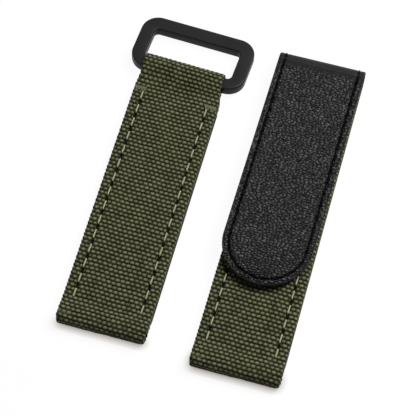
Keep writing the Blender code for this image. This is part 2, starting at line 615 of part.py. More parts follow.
def flap_outline(inset, end_y):
    """Pairs round the flap at an inset from its edge: straight sides and a half-round tip."""
    radius = LEATHER_WIDTH / 2 - inset
    centre_y = FLAP_TIP_Y + LEATHER_WIDTH / 2
    angles = [math.pi + math.pi * i / TIP_STEPS for i in range(TIP_STEPS + 1)]
    pairs = [(radius * math.cos(a), centre_y + radius * math.sin(a)) for a in angles]
    lean_end = min(end_y, FOLD_Y)
    pairs = [(-radius, lean_end)] + pairs + [(radius, lean_end)]
    if end_y > FOLD_Y:
        pairs = [(-radius, end_y)] + pairs + [(radius, end_y)]
    return [(flap_middle(y) + across, y) for across, y in pairs]


def flap_seam(inset, end_y):
    """A function that gives the place on the flap's seam at a distance along it, and its length."""
    radius = LEATHER_WIDTH / 2 - inset
    centre_y = FLAP_TIP_Y + LEATHER_WIDTH / 2
    straight = end_y - centre_y
    arc = math.pi * radius

    def place_at(distance):
        if distance < straight:
            y = end_y - distance
            return flap_middle(y) - radius, y
        if distance < straight + arc:
            angle = math.pi + (distance - straight) / radius
            y = centre_y + radius * math.sin(angle)
            return flap_middle(y) + radius * math.cos(angle), y
        y = centre_y + distance - straight - arc
        return flap_middle(y) + radius, y

    return place_at, 2 * straight + arc


def cut_flap_groove(piece, end_y, low, high):
    """The groove of the flap's seam, down both sides and round the tip."""
    outer = flap_outline(FLAP_SEAM_INSET - GROOVE_HALF_WIDTH, end_y)
    inner = flap_outline(FLAP_SEAM_INSET + GROOVE_HALF_WIDTH, end_y)
    bm = bmesh.new()
    add_prism(bm, [(x, y, low) for x, y in outer + inner[::-1]], Vector((0, 0, high - low)))
    cut(piece, finish_mesh("cutter_seam_of_" + piece.name, bm))


def make_flap(leather, tape, thread):
    """The flap: leather outside, hook tape inside, sewn together round the edge."""
    axis = bend_axis(FOLD_BENDS)
    last_bend = FOLD_Y + BEND_ARC / 2 - FOLD_GAP / 2
    seam_end = FOLD_Y - FLAP_SEAM_FROM_FOLD
    bm = bmesh.new()
    outline = flap_outline(0, last_bend)
    add_prism(bm, [(x, y, FLAP_BASE) for x, y in outline], Vector((0, 0, FLAP_LEATHER_THICKNESS)))
    cut_across(bm, FOLD_Y, last_bend, BEND_STEPS)
    wrap_round_fold(bm, upper=True)
    flap = finish_mesh("flap_leather", bm, leather)
    groove_end = seam_end + THREAD_CLEARANCE
    cut_flap_groove(flap, groove_end, FLAP_TOP - GROOVE_DEPTH, FLAP_TOP + CUT_OVERRUN)
    set_origin(flap, axis)

    tape_end = FOLD_Y - HOOK_TAPE_FROM_FOLD
    bm = bmesh.new()
    outline = flap_outline(HOOK_TAPE_INSET, tape_end)
    add_prism(bm, [(x, y, HOOK_TAPE_BASE) for x, y in outline], Vector((0, 0, HOOK_TAPE_THICKNESS)))
    hook_tape = finish_mesh("flap_hook_tape", bm, tape)
    tape_seam_end = tape_end - FLAP_SEAM_FROM_FOLD
    cut_flap_groove(hook_tape, tape_seam_end + THREAD_CLEARANCE, HOOK_TAPE_BASE - CUT_OVERRUN,
                    HOOK_TAPE_BASE + GROOVE_DEPTH)
    set_origin(hook_tape, axis)

    place_at, length = flap_seam(FLAP_SEAM_INSET, seam_end)
    crest = FLAP_TOP + THREAD_PROUD / 2 - THREAD_RADIUS
    trough = FLAP_TOP - GROOVE_DEPTH + THREAD_CLEARANCE / 2 + THREAD_RADIUS
    front = add_thread("flap_front_thread", place_at, length, crest, trough, thread)
    set_origin(front, axis)
    place_at, length = flap_seam(FLAP_SEAM_INSET, tape_seam_end)
    level = HOOK_TAPE_BASE + GROOVE_DEPTH - THREAD_CLEARANCE / 2 - THREAD_RADIUS
    inner = add_thread("flap_inner_thread", place_at, length, level, level, thread)
    set_origin(inner, axis)


def make_fold(leather):
    """The bent leather between lining and flap, in stiff strips that turn at their outer edges."""
    half = LEATHER_WIDTH / 2
    for index in range(1, FOLD_BENDS):
        start = FOLD_Y + (index - 0.5) * BEND_ARC + FOLD_GAP / 2
        end = FOLD_Y + (index + 0.5) * BEND_ARC - FOLD_GAP / 2
        bm = bmesh.new()
        add_box(bm, (LONG_STRAP_X - half, start, 0), (LONG_STRAP_X + half, end, LINING_THICKNESS))
        cut_across(bm, start, end, BEND_STEPS)
        wrap_round_fold(bm, upper=False)
        strip = finish_mesh("fold_leather_" + str(index), bm, leather)
        set_origin(strip, bend_axis(index))


def main():
    for old in list(bpy.data.objects):
        bpy.data.objects.remove(old, do_unlink=True)
    make_ring_strap(make_material("ring strap canvas", OLIVE, 0.9),
                    make_material("ring strap core", CORE_BLACK, 0.9),
                    make_material("ring strap lining", BLACK_LEATHER, 0.6),
                    make_material("ring strap khaki thread", KHAKI, 0.8),
                    make_material("ring strap black thread", BLACK_THREAD, 0.7),
                    make_material("tack thread", OLIVE, 0.8))
    make_ring(make_material("ring metal", BLACK_METAL, 0.45, 1.0))
    make_long_strap(make_material("long strap canvas", OLIVE, 0.9),
                    make_material("long strap core", CORE_BLACK, 0.9),
                    make_material("long strap lining", BLACK_LEATHER, 0.6),
                    make_material("loop tape", BLACK_TAPE, 0.95),
                    make_material("long strap khaki thread", KHAKI, 0.8),
                    make_material("long strap black thread", BLACK_THREAD, 0.7),
                    make_material("loop tape thread", BLACK_THREAD, 0.7))
    make_fold(make_material("fold leather", BLACK_LEATHER, 0.6))
    make_flap(make_material("flap leather", BLACK_LEATHER, 0.55),
              make_material("hook tape", BLACK_TAPE, 0.8),
              make_material("flap thread", BLACK_THREAD, 0.6))


main()
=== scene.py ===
"""Looks of a hook and loop watch strap: a short canvas strap with a metal ring, and a long one with a flap.

Lengths are in millimetres until a mesh is made. +Y runs from the watch ends to the ring and the fold.
"""

import math

import bmesh
import bpy
import numpy as np
from mathutils import Matrix, Vector


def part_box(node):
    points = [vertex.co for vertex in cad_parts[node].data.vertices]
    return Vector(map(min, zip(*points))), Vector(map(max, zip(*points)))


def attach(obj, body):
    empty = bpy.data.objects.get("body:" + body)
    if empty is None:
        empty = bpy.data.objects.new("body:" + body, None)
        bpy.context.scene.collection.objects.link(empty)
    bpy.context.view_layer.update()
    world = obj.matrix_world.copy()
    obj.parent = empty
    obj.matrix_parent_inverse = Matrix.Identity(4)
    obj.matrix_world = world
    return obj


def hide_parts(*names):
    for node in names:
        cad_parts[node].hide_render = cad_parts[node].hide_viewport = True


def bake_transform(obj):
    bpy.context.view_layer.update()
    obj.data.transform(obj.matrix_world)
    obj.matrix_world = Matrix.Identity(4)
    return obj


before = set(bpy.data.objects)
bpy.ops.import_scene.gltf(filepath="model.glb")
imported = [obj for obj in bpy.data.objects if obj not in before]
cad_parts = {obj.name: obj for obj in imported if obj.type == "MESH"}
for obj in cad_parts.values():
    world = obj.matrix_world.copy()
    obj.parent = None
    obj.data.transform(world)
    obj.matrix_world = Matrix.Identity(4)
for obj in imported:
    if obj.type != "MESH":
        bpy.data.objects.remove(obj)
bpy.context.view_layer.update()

# The view: a long lens, looking down on the pair from the watch ends, with the straps leaning right.
# The photograph's width in pixels and its scale at the straps give the lens.
MM = 0.001
photo_width_px = 416
photo_scale_px_per_mm = 4.06
view_azimuth = math.radians(15.57)
view_elevation = math.radians(64)
view_distance = 424.7
view_target = Vector((0.726, -3.444, 0))
sensor_width = 36
camera_data = bpy.data.cameras.new("view")
camera_data.sensor_width = sensor_width
camera_data.lens = sensor_width * photo_scale_px_per_mm * view_distance / photo_width_px
camera_data.clip_start = 10 * MM
camera_data.clip_end = 10
camera = bpy.data.objects.new("view", camera_data)
bpy.context.scene.collection.objects.link(camera)
view_back = Vector((math.sin(view_azimuth) * math.cos(view_elevation),
                    -math.cos(view_azimuth) * math.cos(view_elevation), math.sin(view_elevation)))
camera.location = (view_target + view_back * view_distance) * MM
camera.rotation_mode = "QUATERNION"
camera.rotation_quaternion = (-view_back).to_track_quat("-Z", "Y")
bpy.context.scene.camera = camera
bpy.context.scene.view_settings.view_transform = "Standard"

# The light: one soft box behind the pair and to its right, so that faces towards the watch ends and flat
# black faces stay dark, and a surround that dims towards the watch ends. The camera sees it plain white,
# straight and mirrored.
softbox_place = Vector((235, 213, 460))
softbox_size = 290
softbox_watts = 3.6
surround_dim = 0.03
surround_bright = 0.42
surround_from = -0.45
surround_to = 0.55
surround_white = (1, 1, 1)
softbox_data = bpy.data.lights.new("softbox", "AREA")
softbox_data.shape = "DISK"
softbox_data.size = softbox_size * MM
softbox_data.energy = softbox_watts
softbox = bpy.data.objects.new("softbox", softbox_data)
bpy.context.scene.collection.objects.link(softbox)
softbox.location = softbox_place * MM
softbox.rotation_mode = "QUATERNION"
softbox.rotation_quaternion = (-softbox_place).to_track_quat("-Z", "Y")
world = bpy.data.worlds.new("surround")
bpy.context.scene.world = world
world.use_nodes = True
world_tree = world.node_tree


def fill_inputs(tree, node, inputs):
    """Link each given input of a node to a socket, or set it to a plain value."""
    for place, value in inputs.items():
        if isinstance(value, bpy.types.NodeSocket):
            tree.links.new(value, node.inputs[place])
        elif node.inputs[place].type == "RGBA":
            node.inputs[place].default_value = (*value, 1)
        else:
            node.inputs[place].default_value = value


def add_node(tree, kind, inputs=None, **settings):
    """A new node with its properties and its inputs."""
    node = tree.nodes.new("ShaderNode" + kind)
    for setting, value in settings.items():
        setattr(node, setting, value)
    fill_inputs(tree, node, inputs or {})
    return node


def add_range(tree, value, low, high, to_low=0, to_high=1):
    """A smooth ramp of a socket's value. Gives the ramp's socket."""
    ramp = {"Value": value, "From Min": low, "From Max": high, "To Min": to_low, "To Max": to_high}
    return add_node(tree, "MapRange", ramp, interpolation_type="SMOOTHSTEP").outputs["Result"]


def add_math(tree, operation, first, second):
    """A sum, a product or the like of two sockets. Gives its socket."""
    return add_node(tree, "Math", {0: first, 1: second}, operation=operation).outputs["Value"]


def straight_or_mirrored(tree):
    """A socket that is 1 for what the camera sees straight, mirrored in metal or through glass, else 0."""
    rays = add_node(tree, "LightPath").outputs
    straight_or_glossy = add_math(tree, "MAXIMUM", rays["Is Camera Ray"], rays["Is Glossy Ray"])
    return add_math(tree, "MAXIMUM", straight_or_glossy, rays["Is Transmission Ray"])


world_way = add_node(world_tree, "TexCoord").outputs["Generated"]
world_ahead = add_node(world_tree, "SeparateXYZ", {"Vector": world_way}).outputs["Y"]
world_light = world_tree.nodes["Background"]
fill_inputs(world_tree, world_light, {"Color": surround_white, "Strength": add_range(
    world_tree, world_ahead, surround_from, surround_to, surround_dim, surround_bright)})
world_white = add_node(world_tree, "Background", {"Color": surround_white})
world_mix = add_node(world_tree, "MixShader", {
    "Fac": straight_or_mirrored(world_tree), 1: world_light.outputs["Background"],
    2: world_white.outputs["Background"]})
fill_inputs(world_tree, world_tree.nodes["World Output"], {"Surface": world_mix.outputs["Shader"]})

# The floor: a wide white sheet. Most of its white is its own, for the camera alone, so that it comes
# out as pale as the photograph's. By the watch ends it takes more of the straps' soft, warm shadows, and
# a painted contact shadow darkens its own white there close to the straps.
floor_half = 900
floor_paint = 0.60
floor_far_paint = 0.05
floor_near_paint = (0.09, 0.105, 0.11)
floor_painted_shadow = (0.09, 0.06, 0.03)
floor_contact_reach = 1.8
floor_near_from = -39.5
floor_near_to = -43.2
floor_roughness = 0.9
floor_contact_samples = 16
floor_bm = bmesh.new()
bmesh.ops.create_grid(floor_bm, x_segments=1, y_segments=1, size=floor_half * MM)


def mesh_of(name, bm):
    """A bmesh's mesh. The bmesh is freed."""
    mesh = bpy.data.meshes.new(name)
    bm.to_mesh(mesh)
    bm.free()
    return mesh


def new_material(name):
    """A new material and its tree of nodes."""
    material = bpy.data.materials.new(name)
    material.use_nodes = True
    return material, material.node_tree


def fill_shader(tree, inputs):
    """Link or set the given inputs of a material's own shader."""
    fill_inputs(tree, tree.nodes["Principled BSDF"], inputs)


def add_mix(tree, share, first, second):
    """A mix of two colours, each a socket or plain. Gives the mixed colour's socket."""
    return add_node(tree, "Mix", {0: share, 6: first, 7: second}, data_type="RGBA").outputs[2]


floor_mesh = mesh_of("floor", floor_bm)
floor = bpy.data.objects.new("floor", floor_mesh)
bpy.context.scene.collection.objects.link(floor)
floor_material, floor_tree = new_material("floor white")
floor_place = add_node(floor_tree, "TexCoord").outputs["Object"]
floor_ahead = add_node(floor_tree, "SeparateXYZ", {"Vector": floor_place}).outputs["Y"]
floor_near = add_range(floor_tree, floor_ahead, floor_near_from * MM, floor_near_to * MM)
# Painted contact shadow: ambient occlusion darkens the floor's own white by the watch ends.
floor_shadow_ao = add_node(floor_tree, "AmbientOcclusion", {"Distance": floor_contact_reach * MM},
                       samples=floor_contact_samples).outputs["AO"]
floor_shown = straight_or_mirrored(floor_tree)
floor_seen = add_mix(floor_tree, floor_near, (floor_far_paint,) * 3, floor_near_paint)
floor_own_near_shadowed = add_mix(
    floor_tree, floor_shadow_ao, floor_painted_shadow, tuple(1 - part for part in floor_near_paint))
fill_shader(floor_tree, {
    "Base Color": add_mix(floor_tree, floor_shown, (floor_paint,) * 3, floor_seen),
    "Roughness": floor_roughness, "Specular IOR Level": 0,
    "Emission Color": add_mix(floor_tree, floor_near, (1 - floor_far_paint,) * 3, floor_own_near_shadowed),
    "Emission Strength": floor_shown})
floor_mesh.materials.append(floor_material)

# Ring strap canvas: coarse weave of thick olive yarns, folded round the spring bar's tunnel at one end
# and round the ring's bar at the other. Its edges are turned in, and two seams draw it down.
strap_width = 22.0
half_width = strap_width / 2
canvas_top = 3.5
turn_in_base = 1.0
edge_radius = 0.8
lug_thickness = 4.1
lug_length = 3.0
lug_taper = 3.4
lug_corner = 0.9
lug_squareness = 0.62
tunnel_radius = 1.0
tunnel_from_end = 2.1
lining_start = 6.1
loop_width = 20.8
loop_edge = 0.45
loop_wall = 0.7
loop_straight = 4.5
loop_flare = 5.0
loop_ramp = 8.4
loop_skew = math.radians(-2.7)
ring_lining_from_end = 10.6
grid_step = 0.2
end_turn = math.pi / 2 * 0.985
weld_reach = 0.0001
sharp_from = math.radians(70)
weave_across = 1.25
weave_along = 1.06
weave_turn = math.radians(2.0)
weave_height = 0.27
weave_level = 0.55
seam_inset = 2.6
seam_x = half_width - seam_inset
seam_pitch_wanted = 3.9
seam_turn_share = 0.07
seam_dash_share = 0.60
seam_draw = 0.16
seam_draw_reach = 0.55
seam_pit = 0.62
seam_pit_reach = 0.28
crease_x = half_width - 6.4
crease_reach = 0.22
crease_step = 0.06
crease_groove = 0.05


def node_corners(node):
    """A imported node's lowest and highest corner in millimetres."""
    low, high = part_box(node)
    return np.array(low) / MM, np.array(high) / MM


def smooth_step(values, start, end):
    """0 before start, 1 after end, and an even rise between."""
    share = np.clip((values - start) / (end - start), 0, 1)
    return share * share * (3 - 2 * share)


def stretch(values, start, started, ending, end):
    """1 from started to ending, with an even rise before it and an even fall after it."""
    return smooth_step(values, start, started) * (1 - smooth_step(values, ending, end))


def bell(values, middle, reach, power=2):
    """1 at the middle, falling off on both sides of it."""
    return np.exp(-(np.abs(values - middle) / reach) ** power)


def finish_piece(name, bm):
    """Point a closed bmesh's faces outwards and make it a smooth object."""
    bmesh.ops.recalc_face_normals(bm, faces=bm.faces)
    if bm.calc_volume(signed=True) < 0:
        bmesh.ops.reverse_faces(bm, faces=bm.faces)
    mesh = mesh_of(name, bm)
    mesh.shade_smooth()
    mesh.set_sharp_from_angle(angle=sharp_from)
    piece = bpy.data.objects.new(name, mesh)
    bpy.context.scene.collection.objects.link(piece)
    return piece


def take_mesh(bm, mesh):
    """Move a mesh into a bmesh."""
    bm.from_mesh(mesh)
    bpy.data.meshes.remove(mesh)


def laid_grid(places, cloth, marks):
    """A bmesh grid laid at places[row, column], with a UV map in millimetres and point attributes.

    Points that meet are welded, and what stays open is filled, so tubes and plates come out closed.
    """
    rows, columns = places.shape[:2]
    bm = bmesh.new()
    bmesh.ops.create_grid(bm, x_segments=columns - 1, y_segments=rows - 1, size=1)
    mesh = mesh_of("grid", bm)
    flat = np.empty(len(mesh.vertices) * 3)
    mesh.vertices.foreach_get("co", flat)
    flat = flat.reshape(-1, 3)
    column = np.rint((flat[:, 0] + 1) / 2 * (columns - 1)).astype(int)
    row = np.rint((flat[:, 1] + 1) / 2 * (rows - 1)).astype(int)
    mesh.vertices.foreach_set("co", (places[row, column] * MM).ravel())
    corner = np.empty(len(mesh.loops), int)
    mesh.loops.foreach_get("vertex_index", corner)
    layer = mesh.uv_layers.new(name="cloth")
    layer.data.foreach_set("uv", cloth[row[corner], column[corner]].ravel())
    for mark, values in marks.items():
        attribute = mesh.attributes.new(mark, "FLOAT", "POINT")
        attribute.data.foreach_set("value", values[row, column].astype(np.float32))
    bm = bmesh.new()
    take_mesh(bm, mesh)
    bmesh.ops.remove_doubles(bm, verts=bm.verts, dist=weld_reach * MM)
    bmesh.ops.dissolve_degenerate(bm, dist=weld_reach * MM, edges=bm.edges)
    open_edges = [edge for edge in bm.edges if edge.is_boundary]
    if open_edges:
        bmesh.ops.holes_fill(bm, edges=open_edges, sides=0)
    return bm


def section_ring(places):
    """Outward unit normals of a grid whose columns run round closed sections, and its two lengths."""
    around = np.roll(places[:, :-1], -1, axis=1) - np.roll(places[:, :-1], 1, axis=1)
    around = np.concatenate([around, around[:, :1]], axis=1)
    normals = np.cross(around, np.gradient(places, axis=0))
    normals = normals / np.maximum(np.linalg.norm(normals, axis=-1, keepdims=True), 1e-12)
    steps = np.linalg.norm(np.diff(places, axis=1), axis=-1)
    round_section = np.concatenate([np.zeros((len(places), 1)), np.cumsum(steps, axis=1)], axis=1)
    middle = places.shape[1] // 2
    round_section = round_section - round_section[:, middle:middle + 1]
    strides = np.linalg.norm(np.diff(places[:, middle], axis=0), axis=-1)
    onward = np.concatenate([[0], np.cumsum(strides)])[:, None] + 0 * round_section
    return normals, round_section, onward


def stations(y, half, low, high, edge=edge_radius, skew=0):
    """A strap's section values along y: its half width, back and front height, edge radius and skew."""
    return np.stack(np.broadcast_arrays(y, half, low, high, edge, skew))


def strap_sections(centre_x, rows):
    """Closed sections across a strap at its stations, round the left side from the middle of the back."""
    y, half, low, high, edge, skew = rows[:, :, None]
    radius = np.minimum(edge, (high - low) * 0.45)
    corner = np.linspace(0, math.pi / 2, 6)[None, 1:-1]
    sine = radius * np.sin(corner)
    cosine = radius * np.cos(corner)
    top = np.linspace(-1, 1, 2 * round((half_width - edge_radius) / grid_step) + 1)[None, :]
    side = np.linspace(0, 1, 12)[None, :]
    wall = (high - low - 2 * radius) * side
    flat = half - radius
    across = [-side * flat, -flat - sine, -half + 0 * side, -flat - cosine, top * flat, flat + sine,
              half + 0 * side, flat + cosine, (1 - side) * flat]
    up = [low + 0 * side, low + radius - cosine, low + radius + wall, high - radius + sine, high + 0 * top,
          high - radius + cosine, high - radius - wall, low + radius - sine, low + 0 * side]
    across, up = (np.concatenate([run + 0 * y for run in runs], axis=1) for runs in (across, up))
    return np.stack([centre_x + across, y + skew * across, up], axis=-1)


def random_of(seed, spread=43758.5453):
    """An even random number from 0 to 1 for each seed."""
    return np.mod(np.sin(seed) * spread, 1)


def plain_weave(across, along):
    """Height of a plain weave from 0 to 1, and one random tone for each yarn crossing."""
    turned_across = across * math.cos(weave_turn) - along * math.sin(weave_turn)
    turned_along = along * math.cos(weave_turn) + across * math.sin(weave_turn)
    drift_along = 0.05 * np.sin(turned_across * 0.71 + turned_along * 0.13)
    drift_across = 0.07 * np.sin(turned_along * 0.53 + turned_across * 0.11 + 1.7)
    turned_along = (turned_along + drift_along) / weave_along
    turned_across = (turned_across + drift_across) / weave_across
    row = np.rint(turned_along)
    v = (turned_along - row) * 2
    lag = 0.5 * np.mod(row, 2)
    column = np.rint(turned_across - lag)
    u = (turned_across - lag - column) * 2
    tone = random_of(row * 12.9898 + column * 78.233)
    weft = np.clip(1 - np.abs(u / 1.03) ** 3.2, 0, 1) * np.clip(1 - np.abs(v / 0.97) ** 2.3, 0, 1)
    warp = np.clip(1 - ((1 - np.abs(u)) / 0.30) ** 2, 0, 1) * np.clip(1 - np.abs(v / 0.90) ** 2, 0, 1)
    height = np.maximum(weft ** 0.75 * (0.93 + 0.14 * tone), 0.55 * warp)
    return np.clip(height, 0, 1.1), tone


def seam_of(thread):
    """A packed seam thread's first and last y, and its stitch pitch."""
    low, high = node_corners(thread)
    run = high[1] - low[1]
    spare = 1 - seam_dash_share + 2 * seam_turn_share
    count = round(run / seam_pitch_wanted + spare)
    return low[1], high[1], run / (count - spare)


def sewn_canvas(name, centre_x, rows, seams, crease_end):
    """A strap's canvas through its stations, drawn in at the seams, with the weave raised on its skin."""
    start_y, low = rows[0].min(), rows[2][:, None]
    places = strap_sections(centre_x, rows)
    normals, round_section, onward = section_ring(places)
    front = normals[..., 2] > 0.5
    along = places[..., 1]
    from_middle = np.abs(places[..., 0] - centre_x)
    on_left = places[..., 0] < centre_x
    seam_low, seam_high, pitch = (np.where(on_left, left, right) for left, right in zip(*seams))
    on_seam = stretch(along, seam_low - 0.5, seam_low, seam_high + 0.2, seam_high + 0.7) * front
    phase = np.mod((along - seam_low) / pitch + seam_turn_share, 1)
    gap = stretch(phase, seam_dash_share - 0.05, seam_dash_share + 0.05, 0.93, 1.0)
    draw = bell(from_middle, seam_x, seam_draw_reach) * on_seam
    pit = bell(from_middle, seam_x, seam_pit_reach, 4) * gap * on_seam
    flat_run = stretch(along, start_y + 4, start_y + 7, crease_end - 2, crease_end) * front
    inside = (1 - smooth_step(from_middle, crease_x - 0.25, crease_x + 0.25)) * flat_run
    on_crease = bell(from_middle, crease_x, crease_reach) * flat_run
    height, tone = plain_weave(round_section, onward)
    raised = weave_height * (height - weave_level) * (1 - 0.45 * draw) * (1 - 0.3 * on_crease)
    raised -= seam_draw * draw + seam_pit * pit + crease_step * inside + crease_groove * on_crease
    covered = (places[..., 2] < turn_in_base + 0.05) & (low > turn_in_base * 0.5)
    raised = np.where(covered, 0, raised)
    raised[:, -1] = raised[:, 0]
    # Painted shade mask: the weave's height, darkened in the stitch holes, along the seams' draw and in the
    # creases.
    shade = np.clip(height * (1 - 0.85 * pit) * (1 - 0.2 * draw) * (1 - 0.12 * on_crease), 0, 1)
    bm = laid_grid(places + normals * raised[..., None], np.stack([round_section, onward], axis=-1),
                   {"relief_and_shade": shade, "yarn_tone": tone})
    return finish_piece(name, bm)


def lug_run(lug_y):
    """The lug end's stations, at even steps round its nose."""
    radius = lug_thickness / 2
    angle = np.linspace(end_turn, 0, int(radius * math.pi / 2 / grid_step) + 1)
    out = radius * np.sin(angle) ** lug_squareness
    up = radius * np.cos(angle) ** lug_squareness
    half = half_width - lug_corner * (1 - np.cos(angle))
    return stations(lug_y + radius - out, half, radius - up, radius + up)


def body_run(start, stop):
    """Even steps along a strap from one y to another, the start left out."""
    count = int((stop - start) / grid_step)
    return start + (stop - start) * np.arange(1, count + 1) / count


def lug_rise(y, lug_y):
    """How much thicker the strap is near its lug end."""
    taper_start = lug_y + lug_length
    return (lug_thickness - canvas_top) * (1 - smooth_step(y, taper_start, taper_start + lug_taper))


def bore(piece, centre_x, y, z, radius, skew=0):
    """Cut a round hole across a strap, which may run askew."""
    cutter_bm = bmesh.new()
    bmesh.ops.create_cone(cutter_bm, cap_ends=True, segments=64, radius1=radius * MM, radius2=radius * MM,
                          depth=(strap_width + 4) * MM)
    for turn, axis in ((math.pi / 2, "Y"), (skew, "Z")):
        bmesh.ops.rotate(cutter_bm, verts=cutter_bm.verts, cent=(0, 0, 0),
                         matrix=Matrix.Rotation(turn, 3, axis))
    bmesh.ops.translate(cutter_bm, verts=cutter_bm.verts, vec=Vector((centre_x, y, z)) * MM)
    cutter = finish_piece("bore", cutter_bm)
    cut = piece.modifiers.new("bore", "BOOLEAN")
    cut.operation = "DIFFERENCE"
    cut.solver = "EXACT"
    cut.object = cutter
    cut_mesh = bpy.data.meshes.new_from_object(piece.evaluated_get(bpy.context.evaluated_depsgraph_get()))
    piece.modifiers.clear()
    whole_mesh = piece.data
    piece.data = cut_mesh
    piece.data.name = piece.name
    bpy.data.meshes.remove(whole_mesh)
    bpy.data.objects.remove(cutter)


def add_bump(tree, height, distance, strength=1.0):
    """A Bump node over a height socket. Gives its normal."""
    bump = {"Height": height, "Distance": distance, "Strength": strength}
    return add_node(tree, "Bump", bump).outputs["Normal"]


def add_noise(tree, scale, detail):
    """Noise over an object's own coordinates. Gives its value."""
    where = add_node(tree, "TexCoord").outputs["Object"]
    return add_node(tree, "TexNoise", {"Vector": where, "Scale": scale, "Detail": detail}).outputs["Fac"]


def point_mark(tree, name):
    """A socket with the value of a mesh's point attribute."""
    return add_node(tree, "Attribute", attribute_name=name).outputs["Fac"]


def canvas_material(name):
    """Olive canvas: painted highlights on the yarn tops, painted shade in the hollows, nearly black, and fine
    filaments in each yarn with painted shade between them.
    """
    # The hollows' colour is painted shade, and the pale top colour is a painted highlight.
    hollow_shade = (0.0035, 0.004, 0.001)
    yarn_deep = (0.046, 0.048, 0.019)
    yarn_pale = (0.070, 0.072, 0.030)
    dye_deep = (0.032, 0.037, 0.016)
    strand_gap_shade = (0.020, 0.022, 0.010)
    painted_highlight = (0.215, 0.215, 0.125)
    material, tree = new_material(name)
    relief_and_shade = point_mark(tree, "relief_and_shade")
    cloth = add_node(tree, "UVMap", uv_map="cloth").outputs["UV"]
    filament = add_node(tree, "TexWave", {"Vector": cloth, "Scale": 1.9, "Distortion": 1.4, "Detail": 2,
                                          "Detail Scale": 1.5}, bands_direction="Y").outputs["Fac"]
    yarn = add_mix(tree, point_mark(tree, "yarn_tone"), yarn_deep, yarn_pale)
    dyed = add_mix(tree, add_range(tree, add_noise(tree, 160, 4), 0.35, 0.7, 0, 0.35), yarn, dye_deep)
    # Painted shade between the filaments, and painted highlights on the highest yarn tops.
    stranded = add_mix(tree, add_range(tree, filament, 0, 0.6, 0.45, 0), dyed, strand_gap_shade)
    lit = add_mix(tree, add_range(tree, relief_and_shade, 0.66, 1.02, 0, 0.75), stranded, painted_highlight)
    fill_shader(tree, {
        "Base Color": add_mix(tree, add_range(tree, relief_and_shade, 0.22, 0.76), hollow_shade, lit),
        "Roughness": add_range(tree, relief_and_shade, 0.2, 0.9, 0.95, 0.72), "Specular IOR Level": 0.10,
        "Sheen Weight": 0.04, "Sheen Roughness": 0.5, "Normal": add_bump(tree, filament, 0.03 * MM, 0.6)})
    return material


ring_low, ring_high = node_corners("ring_strap_canvas")
ring_x = (ring_low[0] + ring_high[0]) / 2
ring_lug_y = ring_low[1]
ring_end_y = ring_high[1] + loop_width / 2 * math.tan(loop_skew)
loop_radius = ring_high[2] / 2
bar_y = ring_end_y - loop_radius
ring_nose = lug_run(ring_lug_y)
body_y = body_run(ring_nose[0, -1], bar_y)
body_half = half_width - (half_width - loop_width / 2) * smooth_step(
    body_y, ring_end_y - loop_straight - loop_flare, ring_end_y - loop_straight)
ring_lining_end = ring_end_y - ring_lining_from_end
body_low = turn_in_base * stretch(body_y, ring_lug_y + lining_start - 0.2, ring_lug_y + lining_start,
                                  ring_lining_end, ring_lining_end + 0.2)
body_high = canvas_top + lug_rise(body_y, ring_lug_y) + (2 * loop_radius - canvas_top) * smooth_step(
    body_y, ring_end_y - loop_ramp - 0.6, bar_y + 0.8)
body_edge = edge_radius + (loop_edge - edge_radius) * smooth_step(body_y, ring_end_y - 10, ring_end_y - 5)
body_skew = math.tan(loop_skew) * smooth_step(body_y, ring_end_y - loop_ramp, ring_end_y - loop_straight)
loop_angle = np.linspace(0, end_turn, int(loop_radius * math.pi / 2 / grid_step) + 1)[1:]
ring_rows = np.concatenate([
    ring_nose, stations(body_y, body_half, body_low, body_high, body_edge, body_skew),
    stations(bar_y + loop_radius * np.sin(loop_angle), loop_width / 2, loop_radius * (1 - np.cos(loop_angle)),
             loop_radius * (1 + np.cos(loop_angle)), loop_edge, math.tan(loop_skew))], axis=1)
ring_seams = [seam_of("ring_strap_front_thread_" + hand) for hand in ("left", "right")]
ring_canvas = sewn_canvas("ring_canvas", ring_x, ring_rows, ring_seams, ring_end_y - loop_ramp)
bore(ring_canvas, ring_x, ring_lug_y + tunnel_from_end, lug_thickness / 2, tunnel_radius)
bore(ring_canvas, ring_x, bar_y, loop_radius, loop_radius - loop_wall, loop_skew)
ring_canvas.data.materials.clear()
ring_canvas.data.materials.append(canvas_material("ring strap canvas"))
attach(ring_canvas, "root")
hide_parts("ring_strap_canvas")

# Ring strap core and lining: a stiff black board between the layers, and a strip of grained leather on
# the back, whose cut edges are smooth.
leather_width = 22.2
leather_half = leather_width / 2
lining_thickness = 0.9
lining_grain = 0.07
lining_relief = 0.04
lining_pebble = 0.55
leather_edge = 0.28
groove_depth = 0.20
groove_width = 0.30
pebble_wobble = 0.16
board_deep = (0.012, 0.012, 0.012)
board_pale = (0.045, 0.045, 0.044)


def pebbles(x, y, cell):
    """Height of pebble grain, 0 in the creases to 1 on a pebble's top, and one random tone a pebble."""
    wobble_x = pebble_wobble * np.sin(y * 2.1 + 1.3 * np.sin(x * 1.7))
    wobble_y = pebble_wobble * np.sin(x * 1.9 + 1.1 * np.sin(y * 2.3))
    x, y = x + wobble_x, y + wobble_y
    nearest = np.full(np.shape(x + y), 9.0)
    second = nearest.copy()
    tone = 0 * nearest
    column = np.floor(x / cell)
    row = np.floor(y / cell)
    for i in (-1, 0, 1):
        for j in (-1, 0, 1):
            seed = (column + i) * 127.1 + (row + j) * 311.7
            at_x = column + i + 0.1 + 0.8 * random_of(seed)
            at_y = row + j + 0.1 + 0.8 * random_of(seed + 74.7, 24634.6345)
            away = np.hypot(x / cell - at_x, y / cell - at_y)
            closer = away < nearest
            second = np.where(closer, nearest, np.minimum(second, away))
            tone = np.where(closer, random_of(seed + 19.2, 13758.5453), tone)
            nearest = np.where(closer, away, nearest)
    dome = np.clip(1.15 - 0.55 * nearest - 0.25 * tone, 0, 1)
    return smooth_step(second - nearest, -0.05, 0.5) * dome, tone


